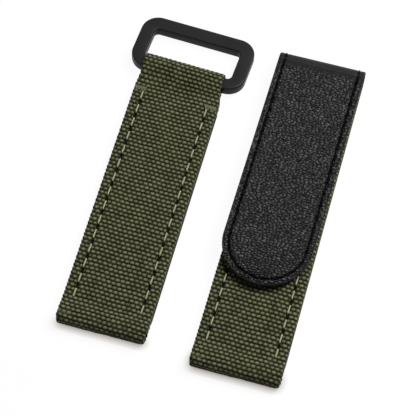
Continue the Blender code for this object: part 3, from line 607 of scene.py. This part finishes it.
def plate_section(face, back, corner_steps):
    """Columns once round a plate with rounded rims, from the left end of its face.

    Gives where the rims' centres lie, across from -1 to 1 and in depth from 0 to 1, and the outward
    direction across and in depth.
    """
    corner = np.linspace(0, math.pi / 2, corner_steps)[1:-1]
    sine, cosine = np.sin(corner), np.cos(corner)
    wall = np.linspace(0, 1, 4)
    runs = ((face, 0, 0, -1), (1, 0, sine, -cosine), (1, wall, 1, 0), (1, 1, cosine, sine), (back, 1, 0, 1),
            (-1, 1, -sine, cosine), (-1, 1 - wall, -1, 0), (-1, 0, -cosine, -sine), (face[:1], 0, 0, -1))
    return np.concatenate([np.stack(np.broadcast_arrays(*run)) for run in runs], axis=1)[:, None, :]


def leather_strip(name, centre_x, y, angle, fold_radius, grain, groove_x, groove_from, groove_to):
    """A leather strip on its back at each y, turned up by angle round a fold of fold_radius.

    grain is the pebbles' height at each station, and a groove runs along both sides at groove_x.
    """
    flat = leather_half - leather_edge
    side, deep, out_across, out_depth = plate_section(
        np.linspace(-1, 1, 2 * round(flat / grid_step) + 1), np.linspace(1, -1, 9), 5)
    across = side * flat + leather_edge * out_across
    depth = leather_edge * (1 + out_depth) + (lining_thickness - 2 * leather_edge) * deep
    y, angle, grain = (row[:, None] for row in np.broadcast_arrays(y, angle, grain))
    run = y + fold_radius * angle
    height, tone = pebbles(across + 50, run + 100 + 0.02 * across, lining_pebble)
    groove = bell(np.abs(across), groove_x, groove_width) * stretch(
        run, groove_from - 0.3, groove_from, groove_to, groove_to + 0.3)
    outer_face = out_depth < -0.9
    offset = (grain * (height - 1) - groove_depth * groove) * outer_face
    across = across + out_across * offset
    radius = fold_radius - depth - out_depth * offset
    places = np.stack([centre_x + across + 0 * run, y + radius * np.sin(angle),
                       fold_radius - radius * np.cos(angle)], axis=-1)
    grained = np.clip(grain / lining_grain, 0, 1)
    # Painted shade: pebble creases and the groove are darkened, and the sides and inner face take the
    # creases' dark colour.
    shade = np.where(outer_face, height * grained + 1 - grained, 0) * (1 - 0.8 * groove * outer_face)
    cloth = np.stack([across + 0 * run, run + 0 * across], axis=-1)
    return finish_piece(name, laid_grid(places, cloth, {"pebble_and_shade": shade, "pebble_tone": tone + 0 * shade}))


def new_group(name, inputs, outputs):
    """A new node group with number sockets, and its output node."""
    group = bpy.data.node_groups.new(name, "ShaderNodeTree")
    for in_out, sockets in (("INPUT", inputs), ("OUTPUT", outputs)):
        for socket in sockets:
            group.interface.new_socket(socket, in_out=in_out, socket_type="NodeSocketFloat")
    return group, group.nodes.new("NodeGroupOutput")


def make_leather_grain():
    """A node group: fine wrinkles and pores between and on the pebbles, for every leather face, and a patchy
    mask for painted highlights on the pebble tops.
    """
    group, made = new_group("leather grain", ("Pebble_and_shade",), ("Height", "Highlight"))
    pebble_and_shade = group.nodes.new("NodeGroupInput").outputs["Pebble_and_shade"]
    where = add_node(group, "TexCoord").outputs["Object"]
    wrinkles = add_node(group, "TexVoronoi", {"Vector": where, "Scale": 4200}, feature="DISTANCE_TO_EDGE")
    fine = add_range(group, wrinkles.outputs["Distance"], 0, 0.25, 0, 0.35)
    pores = add_math(group, "ADD", fine, add_noise(group, 2600, 5))
    # Patches of painted highlight on the pebble tops.
    painted_highlight = add_range(group, add_noise(group, 900, 3), 0.3, 0.75)
    fill_inputs(group, made, {"Height": add_math(group, "ADD", pores, pebble_and_shade),
                              "Highlight": add_math(group, "MULTIPLY", painted_highlight, pebble_and_shade)})
    return group


leather_grain = make_leather_grain()


def leather_material(name, crease_shade_grey, lit_top_grey, highlight_grey, dull, glossy):
    """Black grained leather: matt creases darkened with painted shade, and smoother pebble tops made paler
    with painted highlights, in patches.
    """
    material, tree = new_material(name)
    crease_shade = (crease_shade_grey,) * 3
    pebble_and_shade = point_mark(tree, "pebble_and_shade")
    grain = add_node(tree, "Group", {"Pebble_and_shade": pebble_and_shade}, node_tree=leather_grain)
    # Painted shade in the creases and painted highlights on the pebble tops, paler still in patches.
    body = add_mix(tree, add_range(tree, pebble_and_shade, 0.05, 0.9), crease_shade, (lit_top_grey, lit_top_grey, lit_top_grey * 1.02))
    varied = add_mix(tree, add_range(tree, point_mark(tree, "pebble_tone"), 0, 1, 0, 0.35), body, crease_shade)
    painted_highlit = add_mix(tree, add_range(tree, grain.outputs["Highlight"], 0.1, 0.9, 0, 0.6), varied, (highlight_grey,) * 3)
    fill_shader(tree, {
        "Base Color": painted_highlit, "Roughness": add_range(tree, pebble_and_shade, 0, 1, dull, glossy),
        "Specular IOR Level": 0.14, "Normal": add_bump(tree, grain.outputs["Height"], 0.045 * MM, 0.7)})
    return material


core_board, tree = new_material("core board")
fibre = add_noise(tree, 1500, 5)
fill_shader(tree, {"Base Color": add_mix(tree, fibre, board_deep, board_pale),
                   "Roughness": 0.9, "Specular IOR Level": 0.3, "Normal": add_bump(tree, fibre, 0.05 * MM)})
lining_leather = leather_material("lining leather", 0.006, 0.028, 0.045, 0.7, 0.5)
ring_lining_y = body_run(ring_lug_y + lining_start - 0.05, ring_lining_end)
ring_lining = leather_strip("ring_lining", ring_x, ring_lining_y, 0, 0, lining_relief, seam_x,
                            ring_seams[0][0] - 0.2, ring_seams[0][1] + 0.2)
ring_lining.data.materials.append(lining_leather)
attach(ring_lining, "root")
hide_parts("ring_strap_lining")
ring_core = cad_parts["ring_strap_core"]
for place in ring_core.material_slots:
    place.material = core_board

# Ring strap seams: two lines of thick twisted thread, pale khaki stitches on the front and black ones on
# the back. Each stitch lies level and dives into its hole.
front_thread_radius = 0.21
back_thread_radius = 0.17
thread_dive = 1.6
thread_step = 0.09
thread_sides = 15
thread_lay = 0.85
thread_plies = 3
front_thread_rise = 0.10
back_thread_rise = 0.02
back_thread_dive = 0.22
stitch_slant = 0.16


def laid_threads(name, paths, radius, closed=False, level=(0, 0, 1)):
    """Twisted threads along paths of points, as one piece. No path may run along the level direction."""
    whole = bmesh.new()
    for path in paths:
        onward = np.gradient(path, axis=0)
        if closed:
            onward[0] = onward[-1] = path[1] - path[-2]
        strides = np.linalg.norm(np.diff(path, axis=0), axis=1)
        run = np.concatenate([[0], np.cumsum(strides)])
        lay = run[-1] / max(1, round(run[-1] / thread_lay)) if closed else thread_lay
        onward = onward / np.linalg.norm(onward, axis=1, keepdims=True)
        aside = np.cross(onward, level)
        aside = aside / np.linalg.norm(aside, axis=1, keepdims=True)
        upward = np.cross(aside, onward)
        angle = np.linspace(0, 2 * math.pi, thread_sides + 1)[None, :]
        ply = np.abs(np.cos(thread_plies / 2 * (angle - 2 * math.pi * run[:, None] / lay)))
        reach = radius * (0.80 + 0.24 * ply)
        places = path[:, None, :] + reach[..., None] * (
            np.cos(angle)[..., None] * aside[:, None, :] + np.sin(angle)[..., None] * upward[:, None, :])
        cloth = np.stack([angle / (2 * math.pi) + 0 * reach, run[:, None] + 0 * reach], axis=-1)
        take_mesh(whole, mesh_of("thread", laid_grid(places, cloth, {"ply": ply})))
    return finish_piece(name, whole)


def dashed(run, start, pitch):
    """How far a stitch has risen at each place on its run: 1 on the stitch, 0 in its hole."""
    phase = np.mod((run - start) / pitch + seam_turn_share, 1)
    dive = smooth_step(phase, seam_dash_share - seam_turn_share, seam_dash_share + seam_turn_share)
    rise = smooth_step(phase, 1 - seam_turn_share, 1.0001) * 0.5
    rest = 1 - smooth_step(phase, 0, seam_turn_share)
    return np.clip(1 - dive - rest * 0.5 + rise, 0, 1)


def make_thread_strands():
    """A node group: the fine strands in a thread's plies, and the painted shade between plies."""
    group, made = new_group("thread strands", (), ("Shadow", "Height"))
    fill_inputs(group, made, {"Shadow": add_range(group, point_mark(group, "ply"), 0, 0.55, 1, 0),
                              "Height": add_noise(group, 9000, 3)})
    return group


thread_strands = make_thread_strands()


def thread_material(name, deep, pale, roughness, specular, sheen):
    """Twisted sewing thread: painted shade between its plies and pale on them."""
    material, tree = new_material(name)
    strands = add_node(tree, "Group", node_tree=thread_strands)
    fill_shader(tree, {
        "Base Color": add_mix(tree, strands.outputs["Shadow"], pale, deep), "Roughness": roughness,
        "Specular IOR Level": specular, "Sheen Weight": sheen,
        "Normal": add_bump(tree, strands.outputs["Height"], 0.02 * MM)})
    return material


khaki_thread = thread_material("khaki thread", (0.045, 0.045, 0.022), (0.36, 0.355, 0.225), 0.6, 0.2, 0.1)
black_thread = thread_material("black thread", (0.002, 0.002, 0.002), (0.004, 0.004, 0.0043), 0.8, 0.02, 0)


def seam_line(thread, front):
    """The path of one packed seam thread, stitch by stitch."""
    low, high = node_corners(thread)
    start, stop, pitch = seam_of(thread)
    run = np.arange(start - seam_turn_share * pitch, stop + seam_turn_share * pitch, thread_step)
    lift = dashed(run, start, pitch)
    if front:
        height = canvas_top + front_thread_rise - thread_dive * (1 - lift)
    else:
        height = back_thread_radius + back_thread_rise + back_thread_dive * (1 - lift)
    slant = np.mod((run - start) / pitch + seam_turn_share, 1) - seam_dash_share / 2
    x = (low[0] + high[0]) / 2 + stitch_slant * slant * lift
    return np.stack([x, run, height], axis=-1)


def sew(strap):
    """A strap's two front threads and two back threads."""
    for hand in ("left", "right"):
        for side, radius, finish, slot_name in (("front", front_thread_radius, khaki_thread, "khaki_thread"),
                                                ("back", back_thread_radius, black_thread, "black_thread")):
            node = f"{strap}_strap_{side}_thread_{hand}"
            seam = laid_threads(f"{strap}_{side}_seam_{hand}", [seam_line(node, side == "front")], radius)
            seam.data.materials.append(finish)
            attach(seam, "root")
            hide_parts(node)


sew("ring")

# Ring strap tacks: a dense bar of olive thread at each canvas edge, sewn over and over itself, that
# holds the loop's folded end down.
tack_thread_radius = 0.15
tack_wraps = 8
olive_thread = thread_material("olive thread", (0.022, 0.024, 0.010), (0.135, 0.14, 0.070), 0.7, 0.2, 0.1)
for hand in ("left", "right"):
    tack_low, tack_high = node_corners("ring_strap_tack_" + hand)
    tack_mid = (tack_low + tack_high) / 2
    tack_half = (tack_high - tack_low) / 2
    strands = []
    for share in (-0.55, 0, 0.55):
        t = np.linspace(-1, 1, 15)
        strands.append(np.stack([tack_mid[0] + tack_half[0] * t, tack_mid[1] + tack_half[1] * share + 0 * t,
                                 tack_low[2] + 0.02 - 0.25 * t ** 8], axis=-1))
    t = np.linspace(0, tack_wraps, tack_wraps * 12 + 1)
    swing = np.cos(math.pi * t)
    strands.append(np.stack([tack_mid[0] + tack_half[0] * 0.9 * (2 * t / tack_wraps - 1),
                             tack_mid[1] + tack_half[1] * swing,
                             tack_high[2] - 0.04 - 0.30 * np.abs(swing) ** 3], axis=-1))
    tack = laid_threads("ring_tack_" + hand, strands, tack_thread_radius)
    tack.data.materials.append(olive_thread)
    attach(tack, "root")
    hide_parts("ring_strap_tack_" + hand)

# Ring: one flat rectangular frame with round corners, blanked from steel, with eased edges and a satin
# black coat. Its near bar lies in the canvas loop and its far bar rests on the floor.
ring_slot = (23.1, 9.0)
ring_bar = 3.8
ring_loop_bar = 3.2
ring_side = 3.55
ring_thickness = 2.8
ring_corner = 4.5
ring_inner_corner = 1.15
ring_edge = 0.42
ring_shift = 0.4
ring_droop = math.radians(5.42)
metal_deep = (0.007, 0.007, 0.0075)
metal_pale = (0.013, 0.013, 0.014)


def add_frame_outline(bm, half, near, far, radius):
    """A closed loop of edges round a rectangle with round corners, in the ring's own plane."""
    outline = bmesh.ops.create_grid(bm, x_segments=1, y_segments=1, size=1)
    for vert in outline["verts"]:
        vert.co.x *= half
        vert.co.y = near if vert.co.y < 0 else far
    bmesh.ops.bevel(bm, geom=outline["verts"], offset=radius, segments=14, profile=0.5, affect="VERTICES",
                    material=-1)


bm = bmesh.new()
slot_near = ring_loop_bar / 2
slot_far = slot_near + ring_slot[1]
add_frame_outline(bm, ring_slot[0] / 2 + ring_side, -slot_near, slot_far + ring_bar, ring_corner)
outer_edges = bm.edges[:]
add_frame_outline(bm, ring_slot[0] / 2, slot_near, slot_far, ring_inner_corner)
inner_edges = [edge for edge in bm.edges if edge not in set(outer_edges)]
bmesh.ops.delete(bm, geom=bm.faces[:], context="FACES_ONLY")
bmesh.ops.bridge_loops(bm, edges=outer_edges + inner_edges)
swept = bmesh.ops.extrude_face_region(bm, geom=bm.faces[:])
risen = [item for item in swept["geom"] if isinstance(item, bmesh.types.BMVert)]
bmesh.ops.translate(bm, verts=risen, vec=(0, 0, ring_thickness))
bmesh.ops.translate(bm, verts=bm.verts, vec=(0, 0, -ring_thickness / 2))
bmesh.ops.recalc_face_normals(bm, faces=bm.faces)
rims = [edge for edge in bm.edges
        if abs(abs(edge.link_faces[0].normal.z) - abs(edge.link_faces[1].normal.z)) > 0.5]
bmesh.ops.bevel(bm, geom=rims, offset=ring_edge, segments=5, profile=0.5, affect="EDGES", material=-1)
bmesh.ops.rotate(bm, verts=bm.verts, cent=(0, 0, 0), matrix=Matrix.Rotation(-ring_droop, 3, "X"))
bmesh.ops.rotate(bm, verts=bm.verts, cent=(0, 0, 0), matrix=Matrix.Rotation(loop_skew, 3, "Z"))
bmesh.ops.translate(bm, verts=bm.verts, vec=(ring_x + ring_shift, bar_y + ring_shift * math.tan(loop_skew),
                                             loop_radius))
bmesh.ops.scale(bm, verts=bm.verts, vec=(MM, MM, MM))
ring = finish_piece("ring_frame", bm)
ring_metal, tree = new_material("satin black metal")
orange_peel = add_noise(tree, 1100, 3)
handled = add_noise(tree, 130, 4)
fill_shader(tree, {
    "Base Color": add_mix(tree, handled, metal_deep, metal_pale),
    "Roughness": add_range(tree, handled, 0.3, 0.7, 0.34, 0.41), "Specular IOR Level": 0.13,
    "Normal": add_bump(tree, orange_peel, 0.012 * MM, 0.8)})
ring.data.materials.append(ring_metal)
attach(ring, "ring")
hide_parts("ring")

# Long strap canvas, core, lining and seams: as the ring strap's, but straight on to the fold, where the
# leather runs on past the canvas and turns over it.
long_low, long_high = node_corners("long_strap_canvas")
long_x = (long_low[0] + long_high[0]) / 2
long_lug_y = long_low[1]
long_canvas_end = long_high[1]
fold_radius = node_corners("flap_leather")[1][2] / 2
fold_y = node_corners("fold_leather_1")[1][1] - fold_radius
long_nose = lug_run(long_lug_y)
body_y = body_run(long_nose[0, -1], long_canvas_end)
body_low = turn_in_base * smooth_step(body_y, long_lug_y + lining_start - 0.2, long_lug_y + lining_start)
body_high = canvas_top + lug_rise(body_y, long_lug_y)
long_rows = np.concatenate([long_nose, stations(body_y, half_width, body_low, body_high)], axis=1)
long_seams = [seam_of("long_strap_front_thread_" + hand) for hand in ("left", "right")]
long_canvas = sewn_canvas("long_canvas", long_x, long_rows, long_seams, long_canvas_end + 4)
bore(long_canvas, long_x, long_lug_y + tunnel_from_end, lug_thickness / 2, tunnel_radius)
long_canvas.data.materials.clear()
long_canvas.data.materials.append(canvas_material("long strap canvas"))
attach(long_canvas, "root")
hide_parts("long_strap_canvas")
sew("long")
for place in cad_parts["long_strap_core"].material_slots:
    place.material = core_board
long_lining_y = body_run(long_lug_y + lining_start - 0.05, fold_y)
long_lining = leather_strip("long_lining", long_x, long_lining_y, 0, fold_radius,
                            lining_relief - 0.025 * smooth_step(long_lining_y, fold_y - 3, fold_y),
                            seam_x, long_seams[0][0] - 0.2, long_seams[0][1] + 0.2)
long_lining.data.materials.append(lining_leather)
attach(long_lining, "root")
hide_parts("long_strap_lining")

# Loop tape: a black woven tape with a brushed pile of fine loops, sewn on the long strap's front under
# the flap.
tape_low, tape_high = node_corners("loop_tape")
tape_half = (tape_high[0] - tape_low[0]) / 2
tape_corner = 2.0
tape_thickness = 0.36
tape_seam_inset = 1.2
tape_seam_depth = 0.16
tape_fuzz_cell = 0.42
tape_fuzz_depth = 0.10
patch_rows = 8
patch_margin = 0.35
loops_in_patch = 44
loop_rise = 0.42
loop_wire = 0.045
wire_sides = 4
pile_deep = (0.005, 0.005, 0.005)
pile_pale = (0.022, 0.022, 0.023)


def copies(template, spots):
    """A mesh of copies of a template mesh, one at each spot, turned about Z and tilted about X there."""
    bm = bmesh.new()
    for x, y, z, turn, tilt in spots:
        known = len(bm.verts)
        bm.from_mesh(template)
        bm.verts.ensure_lookup_table()
        placed = (Matrix.Translation(Vector((x, y, z)) * MM) @ Matrix.Rotation(turn, 4, "Z")
                  @ Matrix.Rotation(tilt, 4, "X"))
        bmesh.ops.transform(bm, matrix=placed, verts=bm.verts[known:])
    bpy.data.meshes.remove(template)
    return mesh_of("copies", bm)


def bent_wire(bend_radius, wire, sweep, steps):
    """A template mesh: a thin wire bent into an arc that stands on its ends."""
    bm = bmesh.new()
    made = bmesh.ops.create_circle(bm, cap_ends=False, segments=wire_sides, radius=wire * MM)
    bmesh.ops.translate(bm, verts=made["verts"], vec=(bend_radius * MM, 0, 0))
    bmesh.ops.spin(bm, geom=bm.verts[:] + bm.edges[:], cent=(0, 0, 0), axis=(0, -1, 0), angle=sweep,
                   steps=steps, use_merge=False)
    bmesh.ops.holes_fill(bm, edges=[edge for edge in bm.edges if edge.is_boundary], sides=0)
    return mesh_of("bent wire", bm)


tape_y = np.concatenate([tape_low[1] + tape_corner * (1 - np.cos(np.linspace(0.08, math.pi / 2, 12))),
                         body_run(tape_low[1] + tape_corner, tape_high[1] - tape_corner)[:-1],
                         tape_high[1] - tape_corner * (1 - np.cos(np.linspace(math.pi / 2, 0.08, 12)))])
tape_into = np.minimum(tape_y - tape_low[1], tape_high[1] - tape_y)[:, None]
tape_round = tape_corner ** 2 - (tape_corner - np.clip(tape_into, 0, tape_corner)) ** 2
tape_width = tape_half - tape_corner + np.sqrt(np.clip(tape_round, 0, None))
tape_t = np.concatenate([np.linspace(0, -1, 6), [-1], np.linspace(-1, 1, 89), [1], np.linspace(1, 0, 6)])
tape_top = np.concatenate([np.zeros(6), [0.5], np.ones(89), [0.5], np.zeros(6)])
tape_x = tape_t * tape_width
tape_fuzz = pebbles(tape_x + 40, tape_y[:, None] + 90, tape_fuzz_cell)[0]
tape_sewn = bell(np.minimum(tape_width - np.abs(tape_x), tape_into), tape_seam_inset, 0.28)
tape_back = tape_low[2] + 0.02
tape_front = tape_back + tape_thickness
tape_z = tape_back + tape_thickness * tape_top - (tape_top == 1) * (
    tape_fuzz_depth * (1 - tape_fuzz) + tape_seam_depth * tape_sewn)
tape_cloth = np.stack([tape_x, tape_y[:, None] + 0 * tape_x], axis=-1)
tape_places = np.concatenate([tape_cloth + (long_x, 0), tape_z[..., None]], axis=-1)
tape_bm = laid_grid(tape_places, tape_cloth, {"pile": np.where(tape_top == 1, tape_fuzz, 0.3)})
tape_random = np.random.default_rng(7)
patch_across = tape_half - tape_seam_inset - patch_margin
patch_along = (tape_high[1] - tape_low[1] - 2 * tape_seam_inset - 2 * patch_margin) / patch_rows
patch_spots = [(tape_random.uniform(-0.5, 0.5) * patch_across, tape_random.uniform(-0.5, 0.5) * patch_along,
                0, tape_random.uniform(0, math.pi), tape_random.uniform(-0.7, 0.7))
               for _ in range(loops_in_patch)]
patch = copies(bent_wire(loop_rise - 0.14, loop_wire, math.pi, 5), patch_spots)
take_mesh(tape_bm, copies(patch, [(long_x + side * patch_across / 2,
                                   tape_low[1] + tape_seam_inset + patch_margin + (row + 0.5) * patch_along,
                                   tape_front - 0.08, math.pi * ((row + (side > 0)) % 2), 0)
                                  for row in range(patch_rows) for side in (-1, 1)]))
loop_tape = finish_piece("loop_tape_pile", tape_bm)
pile, tree = new_material("black loop pile")
# Painted shade: the pile's colour follows its lumps, dark in the dents between them.
tuft = add_range(tree, point_mark(tree, "pile"), 0, 0.9)
fill_shader(tree, {
    "Base Color": add_mix(tree, tuft, pile_deep, pile_pale), "Roughness": 0.85,
    "Specular IOR Level": 0.3, "Sheen Weight": 0.35, "Sheen Roughness": 0.4,
    "Normal": add_bump(tree, add_noise(tree, 3800, 6), 0.12 * MM)})
loop_tape.data.materials.append(pile)
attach(loop_tape, "root")
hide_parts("loop_tape")

# Loop tape seam: one closed line of black stitches near the tape's edge.
tape_stitch = 3.0
tape_thread_radius = 0.15
track_half = tape_half - tape_seam_inset
track_corner = tape_corner - tape_seam_inset
track_low = tape_low[1] + tape_seam_inset
track_high = tape_high[1] - tape_seam_inset
track_corners = ((1, track_high, 0), (-1, track_high, 1), (-1, track_low, 2), (1, track_low, 3))
track = []
for side, end, quarter in track_corners:
    toward = 1 if end == track_low else -1
    for step in np.linspace(0, 1, 9):
        turn = (quarter + step) * math.pi / 2
        track.append((long_x + side * (track_half - track_corner) + track_corner * math.cos(turn),
                      end + toward * track_corner + track_corner * math.sin(turn)))
track.append(track[0])
track = np.array(track)
track_run = np.concatenate([[0], np.cumsum(np.linalg.norm(np.diff(track, axis=0), axis=1))])
track_at = np.linspace(0, track_run[-1], int(track_run[-1] / thread_step))
track_pitch = track_run[-1] / round(track_run[-1] / tape_stitch)
track_lift = dashed(track_at, 0, track_pitch)
track_x, track_y = (np.interp(track_at, track_run, line) for line in track.T)
track_path = np.stack([track_x, track_y, tape_front - 0.06 - 0.30 * (1 - track_lift)], axis=-1)
tape_seam = laid_threads("loop_tape_seam", [track_path], tape_thread_radius, closed=True)
tape_seam.data.materials.append(black_thread)
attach(tape_seam, "root")
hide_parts("loop_tape_thread")

# Fold: the leather that runs from the lining round the strap's far edge to the flap. It bends in three
# stretches, each between two of the parts that the joints turn.
fold_bends = 3
fold_relief = 0.012
fold_stitch = 3.0
flap_seam_inset = 1.6
flap_seam_x = leather_half - flap_seam_inset


fold_leather = leather_material("fold leather", 0.003, 0.007, 0.011, 0.65, 0.52)
bend = math.pi / fold_bends
for part in range(fold_bends):
    angle = np.linspace(part * bend, (part + 1) * bend, 19)
    piece = leather_strip(f"fold_leather_{part + 1}_bent", long_x, fold_y, angle, fold_radius, fold_relief,
                          flap_seam_x, fold_y - 9, fold_y + 99)
    piece.data.materials.append(fold_leather)
    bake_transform(piece)
    if part < fold_bends - 1:
        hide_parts(f"fold_leather_{part + 1}")
    thread_angle = np.arange(part * bend, (part + 1) * bend + 0.001, bend / 36)
    reach = fold_radius + 0.06 - 0.34 * (1 - dashed(thread_angle * fold_radius, 0.9, fold_stitch))
    stitches = [np.stack(np.broadcast_arrays(
        long_x + side * flap_seam_x, fold_y + reach * np.sin(thread_angle),
        fold_radius - reach * np.cos(thread_angle)), axis=-1) for side in (-1, 1)]
    stitched = laid_threads(f"fold_seam_{part + 1}", stitches, back_thread_radius, level=(1, 0, 0))
    stitched.data.materials.append(black_thread)
    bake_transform(stitched)

# Flap leather: the outer layer of the flap, pebble grained, with a half-round tip. A line of stitches
# draws it down all round, and its rim is cut and rounded.
flap_low, flap_high = node_corners("flap_leather")
flap_top = flap_high[2]
flap_thickness = 0.9
flap_stitch = 3.3
flap_stitch_start = 0.1
flap_groove = 0.55
flap_groove_width = 0.30
flap_pit = 0.36
flap_pit_reach = 0.36
flap_lean = 0.011
tip_centre_y = flap_low[1] + leather_half
flap_grain = 0.42
flap_pebble = 0.76
flap_step = 0.16
flap_back_step = 0.9


def leaned(x, y):
    """The scene's x of a place beside the flap's middle line, which leans to the left towards its tip."""
    return long_x - flap_lean * (fold_y - y) + x


def u_plate(name, half, end_y, top, thickness, edge, upper_step, lower_step, shape):
    """A plate with a half-round tip and rounded rims, closed, in rows across it from the tip on.

    shape takes x, y, the distance in from the edge and whether the face is the upper one, and gives
    the rise and the point attributes.
    """
    turn = np.linspace(0.03, math.pi / 2, int(half * math.pi / 2 / flap_step))
    straight_y = body_run(tip_centre_y, end_y)
    rows_y = np.concatenate([tip_centre_y - half * np.cos(turn), straight_y])[:, None]
    rows_half = np.concatenate([half * np.sin(turn), half + 0 * straight_y])[:, None]
    rim = np.minimum(edge, rows_half * 0.5)
    side, deep, out_across, out_depth = plate_section(
        np.linspace(-1, 1, 2 * round(half / upper_step) + 1),
        np.linspace(1, -1, 2 * round(half / lower_step) + 1), 6)
    x = side * (rows_half - rim) + rim * out_across
    upper = np.where(out_depth == 0, 0.5 - deep, -out_depth) + 0 * x
    y = rows_y + 0 * x
    inward = np.where(y < tip_centre_y, half - np.hypot(x, y - tip_centre_y), half - np.abs(x))
    inward = np.clip(inward, 0, None)
    drop = edge - np.sqrt(np.clip(edge ** 2 - np.clip(edge - inward, 0, None) ** 2, 0, None))
    on_wall = (np.abs(upper) <= 0.5) & (inward < 1e-6)
    height = np.where(upper > 0, top - drop, top - thickness + drop)
    height = np.where(on_wall, top - thickness / 2 + upper * (thickness - 2 * edge), height)
    rise, marks = shape(x, y, inward, upper)
    height = height + rise * np.sign(upper) * (np.abs(upper) > 0.3) * ~on_wall
    places = np.stack([leaned(x, y), y, height], axis=-1)
    return finish_piece(name, laid_grid(places, np.stack([x, y], axis=-1), marks))


def flap_run(x, y):
    """How far along the flap's seam the nearest place on it is, and the seam's stitch pitch."""
    side = fold_y - tip_centre_y
    turn = math.pi / 2 + np.arctan2(x, tip_centre_y - y)
    whole = 2 * side + flap_seam_x * math.pi
    straight = np.where(x < 0, fold_y - y, whole - fold_y + y)
    run = np.where(y < tip_centre_y, side + flap_seam_x * turn, straight)
    return run, whole / (round(whole / flap_stitch) + 0.5)


def flap_shape(x, y, inward, upper):
    """The flap leather's grain, its stitched groove and its smooth stretch at the fold, with painted shade in
    the creases, the groove, the stitch holes and the smooth stretch.
    """
    height, tone = pebbles(0.78 * x + 60, 1.22 * y + 120 + 0.02 * x, flap_pebble)
    rough = smooth_step(fold_y - y, 0.2, 2.8) * smooth_step(inward, -0.1, 0.5)
    grain = 0.07 + 0.93 * rough
    groove = bell(inward, flap_seam_inset, flap_groove_width)
    run, pitch = flap_run(x, y)
    pit = (1 - dashed(run, flap_stitch_start, pitch)) * bell(inward, flap_seam_inset, flap_pit_reach, 4)
    rise = np.where(upper > 0, flap_grain * grain * (height - 1) - flap_groove * groove - flap_pit * pit, 0)
    # Painted shade in the creases, the groove, the stitch holes and the smooth stretch.
    shade = (height * grain + 0.2 * (1 - grain)) * np.clip(1 - 0.8 * groove, 0, 1) * (1 - pit)
    shade = np.where(upper > 0, shade, 1)
    return rise, {"pebble_and_shade": shade, "pebble_tone": tone}


flap = u_plate("flap_leather_outer", leather_half, fold_y, flap_top, flap_thickness, leather_edge, flap_step,
               flap_back_step, flap_shape)
flap.data.materials.append(leather_material("flap leather", 0.0006, 0.043, 0.125, 0.75, 0.30))
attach(flap, "flap")
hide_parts("flap_leather")

# Flap seam: a line of thick black stitches down both sides and round the tip, and the line of thread
# that it leaves on the hook side.
hook_low, hook_high = node_corners("flap_hook_tape")
hook_end = hook_high[1]


def u_path(end_y, height, dive):
    """The path of a seam down a flap's left side, round its tip and up its right, stitch by stitch."""
    side = end_y - tip_centre_y
    count = int(side / thread_step)
    down = end_y - side * np.arange(count) / count
    turn = np.linspace(0, math.pi, int(math.pi * flap_seam_x / thread_step))
    run = np.concatenate([end_y - down, side + flap_seam_x * turn,
                          side + flap_seam_x * math.pi + down[::-1] - tip_centre_y])
    lift = dashed(run, flap_stitch_start, run[-1] / (round(run[-1] / flap_stitch) + 0.5))
    x = flap_seam_x * np.concatenate([-1 + 0 * down, -np.cos(turn), 1 + 0 * down])
    y = np.concatenate([down, tip_centre_y - flap_seam_x * np.sin(turn), down[::-1]])
    return np.stack([leaned(x, y), y, height - dive * (1 - lift)], axis=-1)


for name, node, path, radius in (
        ("flap_seam", "flap_front_thread", u_path(fold_y, flap_top - 0.30, 0.36), back_thread_radius),
        ("flap_inner_seam", "flap_inner_thread", u_path(hook_end - 0.8, hook_low[2] + 0.20, -0.14),
         tape_thread_radius)):
    seam = laid_threads(name, [path], radius)
    seam.data.materials.append(black_thread)
    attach(seam, "flap")
    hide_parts(node)

# Hook tape: the flap's inner layer, a woven tape that stands out a little past the leather's rim, with
# rows of stiff nylon hooks inside its seam.
hook_half = leather_half - 0.15
hook_backing = 0.34
hook_bend = 0.16
hook_wire = 0.05
hook_pitch = (1.25, 1.45)
hook_margin = 2.6
hook_sunk = 0.12
hook_rim = 0.12
hook_rib = 0.8
nylon_deep = (0.006, 0.006, 0.006)
nylon_pale = (0.024, 0.024, 0.025)


def hook_tape_shape(x, y, inward, upper):
    """The tape's fine ribs, and the line where its seam draws it in."""
    rib = 0.5 + 0.5 * np.cos(y * 2 * math.pi / hook_rib)
    groove = bell(inward, flap_seam_inset - 0.15, 0.3)
    rise = np.where(upper < 0, 0.04 * (rib - 1) - 0.10 * groove, 0)
    return rise, {"pile": rib}


backing = u_plate("hook_tape_backing", hook_half, hook_end, hook_high[2], hook_backing, hook_rim,
                  flap_back_step, 0.2, hook_tape_shape)
backing_mesh = backing.data
bpy.data.objects.remove(backing)
hook_bm = bmesh.new()
take_mesh(hook_bm, backing_mesh)
hook_spots = []
hook_root = hook_high[2] - hook_backing
hook_reach = hook_half - hook_margin
for row, y in enumerate(np.arange(hook_low[1] + hook_margin, hook_end - 2.2, hook_pitch[1])):
    past_centre = max(0, tip_centre_y - y)
    reach = math.sqrt(max(0, hook_reach ** 2 - past_centre ** 2))
    for x in np.arange(-reach + 0.3 * (row % 2), reach, hook_pitch[0]):
        turn = 0.15 * math.sin(row * 3.1 + x * 5)
        hook_spots.append((leaned(x, y), y, hook_root - hook_sunk, turn, math.pi))
take_mesh(hook_bm, copies(bent_wire(hook_bend, hook_wire, math.pi * 1.25, 6), hook_spots))
hook_tape = finish_piece("hook_tape", hook_bm)
hook_nylon, tree = new_material("black hook tape")
where = add_node(tree, "TexCoord").outputs["Object"]
yarns = add_node(tree, "TexWave", {"Vector": where, "Scale": 1200, "Distortion": 1}, bands_direction="X")
# Painted shade: the tape's colour follows its ribs, dark in the grooves between them.
rib = add_range(tree, point_mark(tree, "pile"), 0, 1)
fill_shader(tree, {
    "Base Color": add_mix(tree, rib, nylon_deep, nylon_pale), "Roughness": 0.5,
    "Specular IOR Level": 0.45, "Normal": add_bump(tree, yarns.outputs["Fac"], 0.03 * MM)})
hook_tape.data.materials.append(hook_nylon)
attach(hook_tape, "flap")
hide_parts("flap_hook_tape")
